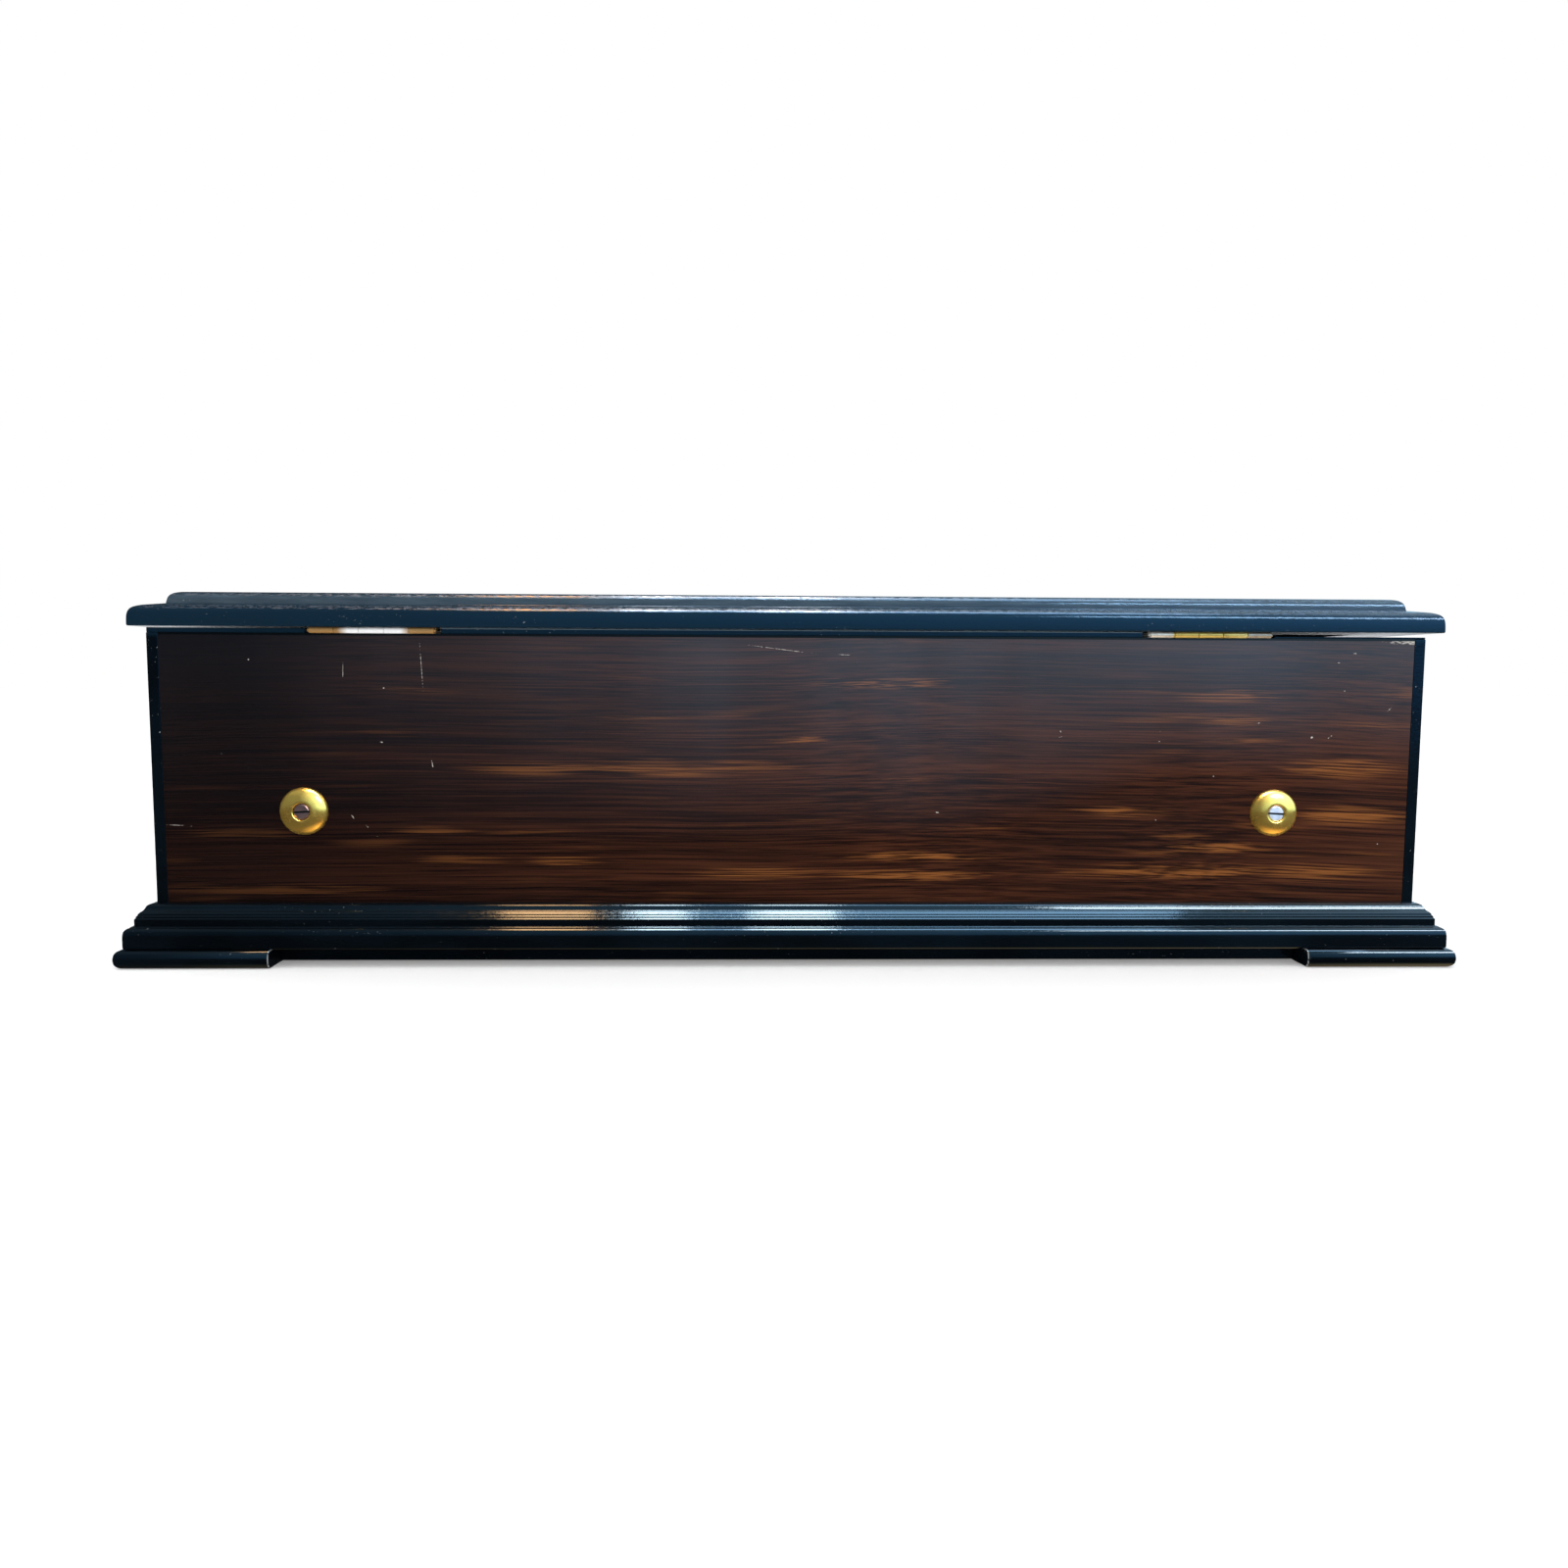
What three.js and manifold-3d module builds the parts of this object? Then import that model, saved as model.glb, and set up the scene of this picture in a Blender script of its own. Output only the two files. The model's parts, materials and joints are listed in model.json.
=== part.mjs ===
// A lever-wound cylinder music box in a veneered case with ebonised mouldings, in millimetres.
// +Z is up, the front with the keyhole faces -Y, and the origin is the middle of the footprint,
// on the surface that the four feet stand on.
import * as THREE from "three";
import { mergeVertices } from "three/addons/utils/BufferGeometryUtils.js";
import Module from "manifold-3d";

// Case carcass
const bodyLength = 668;
const bodyDepth = 250;
const bodyHeight = 141;
const wallThickness = 12;
const cornerStripSize = 6;
const bottomThickness = 10;

// Feet: a mitred angle of bullnosed strip under each corner
const footHeight = 9.5;
const footProjection = 16;
const footInset = 16;
const footLengthAlong = 79;
const footLengthAcross = 62;
// Outward and upward shares of the foot's width and height
const footOutlineShares = [
  [0, 0],
  [0.925, 0],
  [0.985, 0.17],
  [1, 0.44],
  [0.97, 0.73],
  [0.9, 0.94],
  [0.86, 1],
  [0, 1],
];

// Base moulding, in four mitred lengths round the case
const baseMouldingHeight = 22.5;
const baseMouldingProjection = 12.5;
// Outward and upward shares of the projection and height
const baseOutlineShares = [
  [0, 0],
  [0.89, 0],
  [0.97, 0.04],
  [1, 0.12],
  [1, 0.24],
  [0.95, 0.36],
  [0.83, 0.47],
  [0.7, 0.535],
  [0.64, 0.55],
  [0.64, 0.69],
  [0.57, 0.745],
  [0.4, 0.84],
  [0.24, 0.92],
  [0.16, 0.95],
  [0.14, 1],
  [0, 1],
];

// Lid: a panel in a frame of four mitred mouldings, over a gap as thick as the hinge leaves
const lidGap = 3;
const lidThickness = 19;
const lidProjection = 6.5;
const lidMouldingWidth = 32.5;
const lidPanelThickness = 16;
// Shares of the moulding's width, from its inner edge, and of its thickness
const lidOutlineShares = [
  [0, 0],
  [0.83, 0],
  [0.985, 0.11],
  [1, 0.15],
  [0.988, 0.27],
  [0.942, 0.39],
  [0.855, 0.48],
  [0.738, 0.527],
  [0.6, 0.565],
  [0.572, 0.6],
  [0.56, 0.69],
  [0.523, 0.82],
  [0.443, 0.925],
  [0.323, 0.985],
  [0.215, 1],
  [0, 1],
];

// Butt hinges: five knuckles on a pin just behind the back panel
const hingeLength = 64;
const hingeInset = 116;
const hingeLeafThickness = 1.3;
const hingeLeafWidth = 11;
const hingeKnuckles = 5;
const hingeKnuckleRadius = 1.6;
const hingePinRadius = 0.7;
const hingePinOverhang = 1;
const hingeAxisBehindBack = 2.2;

// Lock in the front panel, with its link plate under the lid
const lockWidth = 50;
const lockHeight = 26;
const lockDepth = 8;
const lockPlateThickness = 1.5;
const selvedgeLength = 60;
const selvedgeWidth = 10;
const selvedgeThickness = 1.25;
const stapleSpacing = 26;
const stapleThickness = 2.5;
const stapleDepth = 4.6;
const stapleDrop = 14;
const stapleWindowHeight = 5.2;
const stapleWindowDepth = 3;
const stapleWallBelowWindow = 2.5;
const boltThickness = 2.4;
const boltNoseHeight = 3.6;
const boltNoseLength = 7.5;
const boltPostWidth = 3;
const boltBarHeight = 4;
const boltNoseGap = 1;
const lockSlotClearance = 1;
const keyholeRadius = 2.6;
const keyholeSlotWidth = 2.4;
const keyholeSlotLength = 7;
const keyholeBelowBodyTop = 15;
const escutcheonWidth = 14;
const escutcheonHeight = 22;
const escutcheonThickness = 1;

// Case screws: slotted screws through domed cup washers hold the bedplate from front and back
const caseScrewInset = 78;
const washerRadius = 12.5;
const washerHeight = 4.75;
const washerEdge = 0.8;
const screwHeadRadius = 4.1;
const screwHeadThickness = 2.6;
const screwHeadRecess = 0.4;
const screwShankRadius = 2.5;
const screwSlotWidth = 0.9;
const screwSlotDepth = 1;
const screwGrip = 12;
const screwHoleClearance = 0.5;
// Shares of the washer's radius and height, from the rim to the crown
const washerDomeShares = [
  [1, 0.17],
  [0.94, 0.47],
  [0.78, 0.75],
  [0.58, 0.93],
  [0.43, 1],
];

// Bedplate and the two partitions
const bedplateScrewMargin = 10;
const bedplatePartitionGap = 6;
const bedplateThickness = 9;
const bedplateBelowGlass = 78;
const partitionThickness = 8;

// Glass lid over the movement
const glassFrameRail = 14;
const glassFrameThickness = 8;
const glassFrameBelowBodyTop = 2;
const glassFrameSideGap = 3;
const glassThickness = 2;
const glassRebate = 5;
const glassLedge = 3;

// Spring barrel, its arbor and the winding lever
const barrelRadius = 31;
const barrelLength = 56;
const barrelWall = 2;
const barrelWheelWidth = 6;
const barrelWheelTeeth = 56;
const barrelPinionTeeth = 14;
const barrelModule = 1.2;
const barrelDrop = 8;
const arborRadius = 5;
const ratchetWidth = 5;
const ratchetRadius = 15;
const ratchetToothDepth = 2;
const ratchetTeeth = 24;
const leverThickness = 6;
const leverHubRadius = 12;
const leverHubLength = 14;
const leverReach = 100;
const leverRootWidth = 15;
const leverTipWidth = 9;
const leverKnobRadius = 7;
const leverKnobLength = 22;
const leverRestAngle = 35;

// Click that holds the ratchet wheel
const clickPivotRise = 22;
const clickPivotBack = 20;
const clickHubRadius = 3.6;
const clickThickness = 4;
const clickNoseWidth = 2.4;
const clickNoseAngle = 98;
const clickStudRadius = 2;

// Cylinder on its arbor
const cylinderRadius = 26;
const cylinderWall = 1.5;
const cylinderCap = 3;
const cylinderAxisY = 8;
const cylinderAboveBed = 35;
const cylinderArborRadius = 4;
const cylinderArborOverhang = 3;
const cylinderWheelWidth = 6;
const cylinderWheelTeeth = 60;
const cylinderWheelModule = 0.9;

// Brackets that carry the arbors
const bracketThickness = 8;
const bracketMargin = 14;
const bracketFootWidth = 16;
const bracketFootHeight = 4;

// Comb and the block it stands on
const combTeeth = 80;
const combInset = 3;
const combSlot = 1.2;
const combThickness = 3;
const combTipGap = 1;
const combBassTooth = 46;
const combTrebleTooth = 26;
const combWallGap = 20;
const combMargin = 5;
const combBaseDepth = 32;

// Governor: two wheels, an endless screw and its air brake
const governorPinionTeeth = 10;
const governorWheelTeeth = 36;
const governorModule = 0.55;
const wormPinionTeeth = 10;
const wormWheelTeeth = 20;
const governorSwing = -20;
const wormSwing = 25;
const governorWheelWidth = 2;
const wormPinionWidth = 7;
const wormWheelWidth = 1.6;
const governorArborRadius = 1.2;
const wormCoreRadius = 1.3;
const wormThreadRadius = 2.2;
const wormTipGap = 0.3;
const wormTurns = 5;
const wormRingsPerTurn = 5;
const wormCrestShare = 0.08;
const wormFlankShare = 0.12;
const toothAddendumShare = 0.8;
const toothDedendumShare = 1.1;
const wormWheelDedendumShare = 2;
const governorPlateThickness = 3;
const governorPlateSpacing = 36;
const governorPlateMargin = 7;
const governorBaseHeight = 4;
const wormLowerPivotAboveBed = 12;
const wormUpperPivotAboveBed = 64;
const wormPivotDepth = 2;
const fanRise = 12;
const fanHeight = 16;
const fanRadius = 7.5;
const fanThickness = 0.5;

// Control levers in the right-hand well
const controlAboveBed = 19;
const controlThickness = 3;
const controlWidth = 8;
const controlReach = 46;
const controlKnobRadius = 5.5;
const controlStudRadius = 2.5;
const controlLean = 12;
const startLeverY = -48;
const changeLeverY = 12;

// Gaps along the row of movement pieces, from the winding lever to the control levers
const leverPartitionGap = 3;
const ratchetSideGap = 2.5;
const barrelSideGap = 3;
const barrelWheelGap = 1.5;
const wheelBracketGap = 4.5;
const cylinderSideGap = 9;
const cylinderWheelGap = 12;
const cylinderWheelBracketGap = 6;
const pinionOverlap = 1;
const arborEndGap = 1.5;
const governorWheelGap = 4;
const wormPinionGap = 2;
const wormWheelGap = 17.5;
const governorPartitionGap = 11;
const controlPartitionGap = 3;
const partitionScrewGap = 12;

// Clearances and accuracy
const runningGap = 0.4;
const seatGap = 0.3;
const cutOverrun = 2;
const weldDistance = 1e-4;
const roundSides = 32;
const ringSides = 24;
const smallRoundSides = 12;

// Levels and edges that follow from the sizes
const bodyTop = footHeight + baseMouldingHeight + bodyHeight;
const lidBottom = bodyTop + lidGap;
const lidTop = lidBottom + lidThickness;
const halfLength = bodyLength / 2;
const halfDepth = bodyDepth / 2;
const innerHalfLength = halfLength - wallThickness;
const innerHalfDepth = halfDepth - wallThickness;
const floorTop = footHeight + bottomThickness;
const glassFrameTop = bodyTop - glassFrameBelowBodyTop;
const glassFrameBottom = glassFrameTop - glassFrameThickness;
const bedplateTop = glassFrameBottom - bedplateBelowGlass;
const bedplateBottom = bedplateTop - bedplateThickness;
const hingeSpacing = bodyLength - 2 * hingeInset;
const caseScrewSpacing = bodyLength - 2 * caseScrewInset;
const bedplateLength = caseScrewSpacing + 2 * bedplateScrewMargin;
const caseScrewZ = bedplateTop - bedplateThickness / 2;
const cylinderAxisZ = bedplateTop + cylinderAboveBed;
const controlPivotZ = bedplateTop + controlAboveBed;
const wormLowerPivotZ = bedplateTop + wormLowerPivotAboveBed;
const wormUpperPivotZ = bedplateTop + wormUpperPivotAboveBed;
const partitionTop = glassFrameBottom - seatGap;
const rad = THREE.MathUtils.degToRad;

// Places along X, from the partitions inwards to the cylinder between them
const leftPartitionX = -bedplateLength / 2 - bedplatePartitionGap - partitionThickness;
const leverStartX = leftPartitionX - leverPartitionGap - (leverHubLength + leverThickness) / 2;
const ratchetStartX = leftPartitionX + partitionThickness + ratchetSideGap;
const barrelBracketStartX = ratchetStartX + ratchetWidth + ratchetSideGap;
const barrelStartX = barrelBracketStartX + bracketThickness + barrelSideGap;
const barrelWheelStartX = barrelStartX + barrelLength + barrelWheelGap;
const pinionStartX = barrelWheelStartX - pinionOverlap;
const pinionWidth = barrelWheelWidth + 2 * pinionOverlap;
const cylinderArborStartX = pinionStartX - arborEndGap;
const middleBracketStartX = barrelWheelStartX + barrelWheelWidth + wheelBracketGap;
const cylinderStartX = middleBracketStartX + bracketThickness + cylinderSideGap;
const rightPartitionX = caseScrewSpacing / 2 - partitionScrewGap - partitionThickness;
const controlStartX = rightPartitionX + partitionThickness + controlPartitionGap;
const governorPlateRightX = rightPartitionX - governorPartitionGap - governorPlateThickness;
const governorPlateLeftX = governorPlateRightX - governorPlateSpacing;
const governorInsideX = governorPlateLeftX + governorPlateThickness;
const governorWheelStartX = governorInsideX + governorWheelGap;
const wormPinionStartX = governorInsideX + wormPinionGap;
const wormWheelStartX = governorInsideX + wormWheelGap;
const cylinderWheelStartX = governorPlateLeftX - governorWheelGap - cylinderWheelWidth;
const governorPinionStartX = cylinderWheelStartX - pinionOverlap;
const governorPinionWidth = cylinderWheelWidth + 2 * pinionOverlap;
const endBracketStartX = cylinderWheelStartX + cylinderWheelWidth + cylinderWheelBracketGap;
const cylinderArborEndX = endBracketStartX + bracketThickness + cylinderArborOverhang;
const cylinderEndX = cylinderWheelStartX - cylinderWheelGap;
const cylinderLength = cylinderEndX - cylinderStartX;
const combLength = cylinderLength - 2 * combInset;

// The barrel lies behind the cylinder, one gear centre distance away and a little lower
const barrelWheelRadius = (barrelWheelTeeth * barrelModule) / 2;
const barrelPinionRadius = (barrelPinionTeeth * barrelModule) / 2;
const barrelCentreDistance = barrelWheelRadius + barrelPinionRadius;
const barrelAxisZ = cylinderAxisZ - barrelDrop;
const barrelAxisY = cylinderAxisY + Math.sqrt(barrelCentreDistance ** 2 - barrelDrop ** 2);

// The governor's arbors climb back from the cylinder's right-hand wheel
const governorPinionRadius = (governorPinionTeeth * cylinderWheelModule) / 2;
const cylinderWheelRadius = (cylinderWheelTeeth * cylinderWheelModule) / 2;
const governorDistance = cylinderWheelRadius + governorPinionRadius;
const governorAxisY = cylinderAxisY + governorDistance * Math.cos(rad(governorSwing));
const governorAxisZ = cylinderAxisZ + governorDistance * Math.sin(rad(governorSwing));
const governorWheelRadius = (governorWheelTeeth * governorModule) / 2;
const wormPinionRadius = (wormPinionTeeth * governorModule) / 2;
const wormPinionDistance = governorWheelRadius + wormPinionRadius;
const wormWheelAxisY = governorAxisY + wormPinionDistance * Math.cos(rad(wormSwing));
const wormWheelAxisZ = governorAxisZ + wormPinionDistance * Math.sin(rad(wormSwing));
const wormWheelRadius = (wormWheelTeeth * governorModule) / 2;
const wormPitch = Math.PI * governorModule;
const wormAxisX = wormWheelStartX + wormWheelWidth / 2;
const wormWheelTip = wormWheelRadius + toothAddendumShare * governorModule;
const wormAxisY = wormWheelAxisY + wormWheelTip + wormCoreRadius + wormTipGap;

const wasm = await Module();
wasm.setup();

function toSolid(geometry) {
  const bare = geometry.index ? geometry.toNonIndexed() : geometry.clone();
  bare.deleteAttribute("normal");
  bare.deleteAttribute("uv");
  const merged = mergeVertices(bare, weldDistance);
  return new wasm.Manifold(
    new wasm.Mesh({
      numProp: 3,
      vertProperties: merged.attributes.position.array,
      triVerts: new Uint32Array(merged.index.array),
    }),
  );
}

function toGeometry(solid) {
  const mesh = solid.getMesh();
  const geometry = new THREE.BufferGeometry();
  const positions = new Float32Array(mesh.vertProperties);
  geometry.setAttribute("position", new THREE.BufferAttribute(positions, mesh.numProp));
  geometry.setIndex(new THREE.BufferAttribute(new Uint32Array(mesh.triVerts), 1));
  geometry.computeVertexNormals();
  return geometry;
}

function join(...geometries) {
  return toGeometry(geometries.map(toSolid).reduce((whole, piece) => whole.add(piece)));
}

function cut(body, ...tools) {
  return toGeometry(
    tools.map(toSolid).reduce((left, tool) => left.subtract(tool), toSolid(body)),
  );
}

// A block between two corners, each given as [x, y, z].
function block(low, high) {
  const [sizeX, sizeY, sizeZ] = high.map((value, axis) => value - low[axis]);
  const centre = high.map((value, axis) => (value + low[axis]) / 2);
  return new THREE.BoxGeometry(sizeX, sizeY, sizeZ).translate(...centre);
}

// An outline drawn in Y and Z, carried along X.
function slabAlongX(points, startX, endX, holes = []) {
  const geometry = extrude(points, endX - startX, holes);
  return geometry.applyMatrix4(
    new THREE.Matrix4().set(0, 0, 1, startX, 1, 0, 0, 0, 0, 1, 0, 0, 0, 0, 0, 1),
  );
}

// An outline drawn in X and Z, carried along Y.
function slabAlongY(points, startY, endY, holes = []) {
  const geometry = extrude(points, endY - startY, holes);
  return geometry.applyMatrix4(
    new THREE.Matrix4().set(1, 0, 0, 0, 0, 0, -1, endY, 0, 1, 0, 0, 0, 0, 0, 1),
  );
}

// An outline drawn in X and Y, carried up Z.
function slabAlongZ(points, startZ, endZ, holes = []) {
  return extrude(points, endZ - startZ, holes).translate(0, 0, startZ);
}

function extrude(points, depth, holes) {
  const shape = new THREE.Shape(points);
  shape.holes = holes.map((hole) => new THREE.Path(hole));
  return new THREE.ExtrudeGeometry(shape, { depth, bevelEnabled: false });
}

// Points on an arc, from one angle to another in degrees.
function arcPoints(centre, radius, from, to, steps) {
  return Array.from({ length: steps + 1 }, (_, step) => {
    const angle = rad(from + ((to - from) * step) / steps);
    return new THREE.Vector2(
      centre[0] + radius * Math.cos(angle),
      centre[1] + radius * Math.sin(angle),
    );
  });
}

function circlePoints(centre, radius, sides = roundSides) {
  return arcPoints(centre, radius, 0, 360, sides).slice(0, sides);
}

// A round bar along X, centred on [y, z].
function barAlongX(centre, radius, startX, endX, sides = roundSides) {
  return slabAlongX(circlePoints(centre, radius, sides), startX, endX);
}

function barAlongY(centre, radius, startY, endY, sides = roundSides) {
  return slabAlongY(circlePoints(centre, radius, sides), startY, endY);
}

// A shape turned round the X axis from [radius, x] points, centred on [y, z].
function turnedAlongX(profile, centre, sides = roundSides) {
  const points = profile.map(([radius, x]) => new THREE.Vector2(radius, x));
  return new THREE.LatheGeometry(points, sides)
    .rotateZ(-Math.PI / 2)
    .translate(0, centre[0], centre[1]);
}

// Joins matching loops of points into one closed skin, with flat ends.
function loft(outline, loops) {
  const count = outline.length;
  const positions = loops.flat().flatMap((point) => point.toArray());
  const faces = [];
  const lastLoop = (loops.length - 1) * count;
  for (let loop = 0; loop < lastLoop; loop += count) {
    for (let index = 0; index < count; index += 1) {
      const next = (index + 1) % count;
      faces.push(loop + index, loop + next, loop + count + next);
      faces.push(loop + index, loop + count + next, loop + count + index);
    }
  }
  for (const [a, b, c] of THREE.ShapeUtils.triangulateShape(outline, [])) {
    faces.push(c, b, a, lastLoop + a, lastLoop + b, lastLoop + c);
  }
  const geometry = new THREE.BufferGeometry();
  geometry.setAttribute("position", new THREE.Float32BufferAttribute(positions, 3));
  geometry.setIndex(faces);
  geometry.computeVertexNormals();
  return geometry;
}

// The four sides of a rectangle: how a distance along a side and one outward become X and Y.
const sides = {
  front: (along, out) => [along, -out],
  right: (along, out) => [out, along],
  back: (along, out) => [-along, out],
  left: (along, out) => [-out, -along],
};

// One length of moulding on a side of the case, mitred at both ends.
function mitredLength(outline, side) {
  const isLong = side === "front" || side === "back";
  const halfAlong = isLong ? halfLength : halfDepth;
  const halfAcross = isLong ? halfDepth : halfLength;
  const end = (sign) =>
    outline.map(({ x: out, y: up }) => {
      const [x, y] = sides[side](sign * (halfAlong + out), halfAcross + out);
      return new THREE.Vector3(x, y, up);
    });
  return loft(outline, [end(1), end(-1)]);
}

// A foot: two legs of strip that meet in a mitre under one corner of the case.
function mitredCorner(outline, signX, signY) {
  const endX = signX * (halfLength + footProjection - footLengthAlong);
  const endY = signY * (halfDepth + footProjection - footLengthAcross);
  const loopAt = (place) => outline.map((point) => new THREE.Vector3(...place(point), point.y));
  const loops = [
    loopAt((point) => [endX, signY * (halfDepth + point.x)]),
    loopAt((point) => [signX * (halfLength + point.x), signY * (halfDepth + point.x)]),
    loopAt((point) => [signX * (halfLength + point.x), endY]),
  ];
  return loft(outline, signX * signY > 0 ? loops : loops.reverse());
}

// The outline of a straight arm between two places, with a half width at each of its ends.
function armPoints(from, to, fromHalf, toHalf) {
  const along = new THREE.Vector2(to[0] - from[0], to[1] - from[1]).normalize();
  const corner = (place, half) =>
    new THREE.Vector2(place[0] - along.y * half, place[1] + along.x * half);
  return [
    corner(from, -fromHalf),
    corner(to, -toHalf),
    corner(to, toHalf),
    corner(from, fromHalf),
  ];
}

// A gear's outline with straight-sided teeth, one of them centred on the angle phase.
function gearPoints(centre, teeth, module, phase, dedendumShare = toothDedendumShare) {
  const tip = module * (teeth / 2 + toothAddendumShare);
  const root = module * (teeth / 2 - dedendumShare);
  const pitch = 360 / teeth;
  // Angles as shares of the tooth pitch, and whether each point is on the tip circle
  const toothShares = [
    [-0.27, root],
    [-0.09, tip],
    [0.09, tip],
    [0.27, root],
  ];
  return Array.from({ length: teeth }, (_, tooth) =>
    toothShares.map(([share, radius]) => {
      const angle = rad(phase + (tooth + share) * pitch);
      return new THREE.Vector2(
        centre[0] + radius * Math.cos(angle),
        centre[1] + radius * Math.sin(angle),
      );
    }),
  ).flat();
}

// Phases that put a tooth of one gear into a gap of the next, for centres in Y and Z.
function meshPhases(centre, nextCentre, nextTeeth) {
  const direction = THREE.MathUtils.radToDeg(
    Math.atan2(nextCentre[1] - centre[1], nextCentre[0] - centre[0]),
  );
  return [direction, direction + 180 + 180 / nextTeeth];
}

const wood = (color, roughness) =>
  new THREE.MeshStandardMaterial({ color, roughness, metalness: 0 });
const metal = (color, roughness) =>
  new THREE.MeshStandardMaterial({ color, roughness, metalness: 1 });
const veneer = wood(0x35180f, 0.25);
const ebonised = wood(0x0b0d10, 0.2);
const casework = wood(0x6e4527, 0.5);
const brass = metal(0xc79a3a, 0.25);
const gildedBrass = metal(0xb58a3c, 0.4);
const steel = metal(0xa9adb3, 0.3);
const clearGlass = new THREE.MeshStandardMaterial({
  color: 0xe8f1ee,
  roughness: 0.05,
  metalness: 0,
  transparent: true,
  opacity: 0.3,
});

const musicBox = new THREE.Group();

function add(name, geometry, material) {
  const mesh = new THREE.Mesh(geometry, material);
  mesh.name = name;
  musicBox.add(mesh);
  return mesh;
}

const barrelCentre = [barrelAxisY, barrelAxisZ];
const cylinderCentre = [cylinderAxisY, cylinderAxisZ];
const governorCentre = [governorAxisY, governorAxisZ];
const wormWheelCentre = [wormWheelAxisY, wormWheelAxisZ];
const [barrelPhase, pinionPhase] = meshPhases(barrelCentre, cylinderCentre, barrelPinionTeeth);
const [cylinderPhase, governorPhase] = meshPhases(
  cylinderCentre,
  governorCentre,
  governorPinionTeeth,
);
const [governorWheelPhase, wormPinionPhase] = meshPhases(
  governorCentre,
  wormWheelCentre,
  wormPinionTeeth,
);

// Carcass: front and back panels between rebated ends, with ebonised strips let into the corners
function buildCarcass() {
  const panelHalf = halfLength - cornerStripSize;
  const lockPocket = block(
    [-lockWidth / 2 - seatGap, -innerHalfDepth - lockDepth - seatGap, bodyTop - lockHeight - seatGap],
    [lockWidth / 2 + seatGap, -innerHalfDepth + cutOverrun, bodyTop + cutOverrun],
  );
  const keyhole = keyholeCutter(-halfDepth - cutOverrun, -innerHalfDepth);
  const screwHoles = (startY, endY) =>
    [-1, 1].map((side) =>
      barAlongY(
        [(side * caseScrewSpacing) / 2, caseScrewZ],
        screwShankRadius + screwHoleClearance,
        startY,
        endY,
        smallRoundSides,
      ),
    );
  const controlHoles = [startLeverY, changeLeverY].map((y) =>
    barAlongX(
      [y, controlPivotZ],
      controlStudRadius + runningGap,
      rightPartitionX - cutOverrun,
      rightPartitionX + partitionThickness + cutOverrun,
      smallRoundSides,
    ),
  );
  add(
    "bottom_board",
    block(
      [-innerHalfLength, -innerHalfDepth, footHeight],
      [innerHalfLength, innerHalfDepth, floorTop],
    ),
    casework,
  );
  add(
    "back_panel",
    cut(
      block([-panelHalf, innerHalfDepth, footHeight], [panelHalf, halfDepth, bodyTop]),
      ...screwHoles(innerHalfDepth - cutOverrun, halfDepth + cutOverrun),
    ),
    veneer,
  );
  add(
    "front_panel",
    cut(
      block([-panelHalf, -halfDepth, footHeight], [panelHalf, -innerHalfDepth, bodyTop]),
      lockPocket,
      keyhole,
      ...screwHoles(-halfDepth - cutOverrun, -innerHalfDepth + cutOverrun),
    ),
    veneer,
  );
  for (const [name, sign] of [
    ["left_end_panel", -1],
    ["right_end_panel", 1],
  ]) {
    const tongueDepth = halfDepth - cornerStripSize;
    const outline = [
      [halfLength, -tongueDepth],
      [halfLength, tongueDepth],
      [panelHalf, tongueDepth],
      [panelHalf, innerHalfDepth],
      [innerHalfLength, innerHalfDepth],
      [innerHalfLength, -innerHalfDepth],
      [panelHalf, -innerHalfDepth],
      [panelHalf, -tongueDepth],
    ].map(([x, y]) => new THREE.Vector2(sign * x, y));
    add(name, slabAlongZ(outline, footHeight, bodyTop), veneer);
  }
  for (const [end, signX] of [
    ["left", -1],
    ["right", 1],
  ]) {
    for (const [face, signY] of [
      ["front", -1],
      ["back", 1],
    ]) {
      const strip = new THREE.BoxGeometry(cornerStripSize, cornerStripSize, bodyTop - footHeight);
      add(`corner_strip_${face}_${end}`, strip, ebonised).position.set(
        signX * (halfLength - cornerStripSize / 2),
        signY * (halfDepth - cornerStripSize / 2),
        (bodyTop + footHeight) / 2,
      );
      const footOutline = footOutlineShares.map(
        ([out, up]) =>
          new THREE.Vector2(
            out * (footProjection + footInset) - footInset,
            up * footHeight,
          ),
      );
      add(`foot_${face}_${end}`, mitredCorner(footOutline, signX, signY), ebonised);
    }
  }
  add(
    "left_partition",
    cut(
      block(
        [leftPartitionX, -innerHalfDepth, floorTop],
        [leftPartitionX + partitionThickness, innerHalfDepth, partitionTop],
      ),
      barAlongX(
        barrelCentre,
        arborRadius + cutOverrun,
        leftPartitionX - cutOverrun,
        leftPartitionX + partitionThickness + cutOverrun,
        smallRoundSides,
      ),
    ),
    casework,
  );
  add(
    "right_partition",
    cut(
      block(
        [rightPartitionX, -innerHalfDepth, bedplateTop],
        [rightPartitionX + partitionThickness, innerHalfDepth, partitionTop],
      ),
      ...controlHoles,
    ),
    casework,
  );
}

// A keyhole: a round hole over a narrow slot, as a cutter along Y.
function keyholeCutter(startY, endY) {
  const centreZ = bodyTop - keyholeBelowBodyTop;
  return join(
    barAlongY([0, centreZ], keyholeRadius, startY, endY, smallRoundSides),
    block(
      [-keyholeSlotWidth / 2, startY, centreZ - keyholeSlotLength],
      [keyholeSlotWidth / 2, endY, centreZ],
    ),
  );
}

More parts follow.
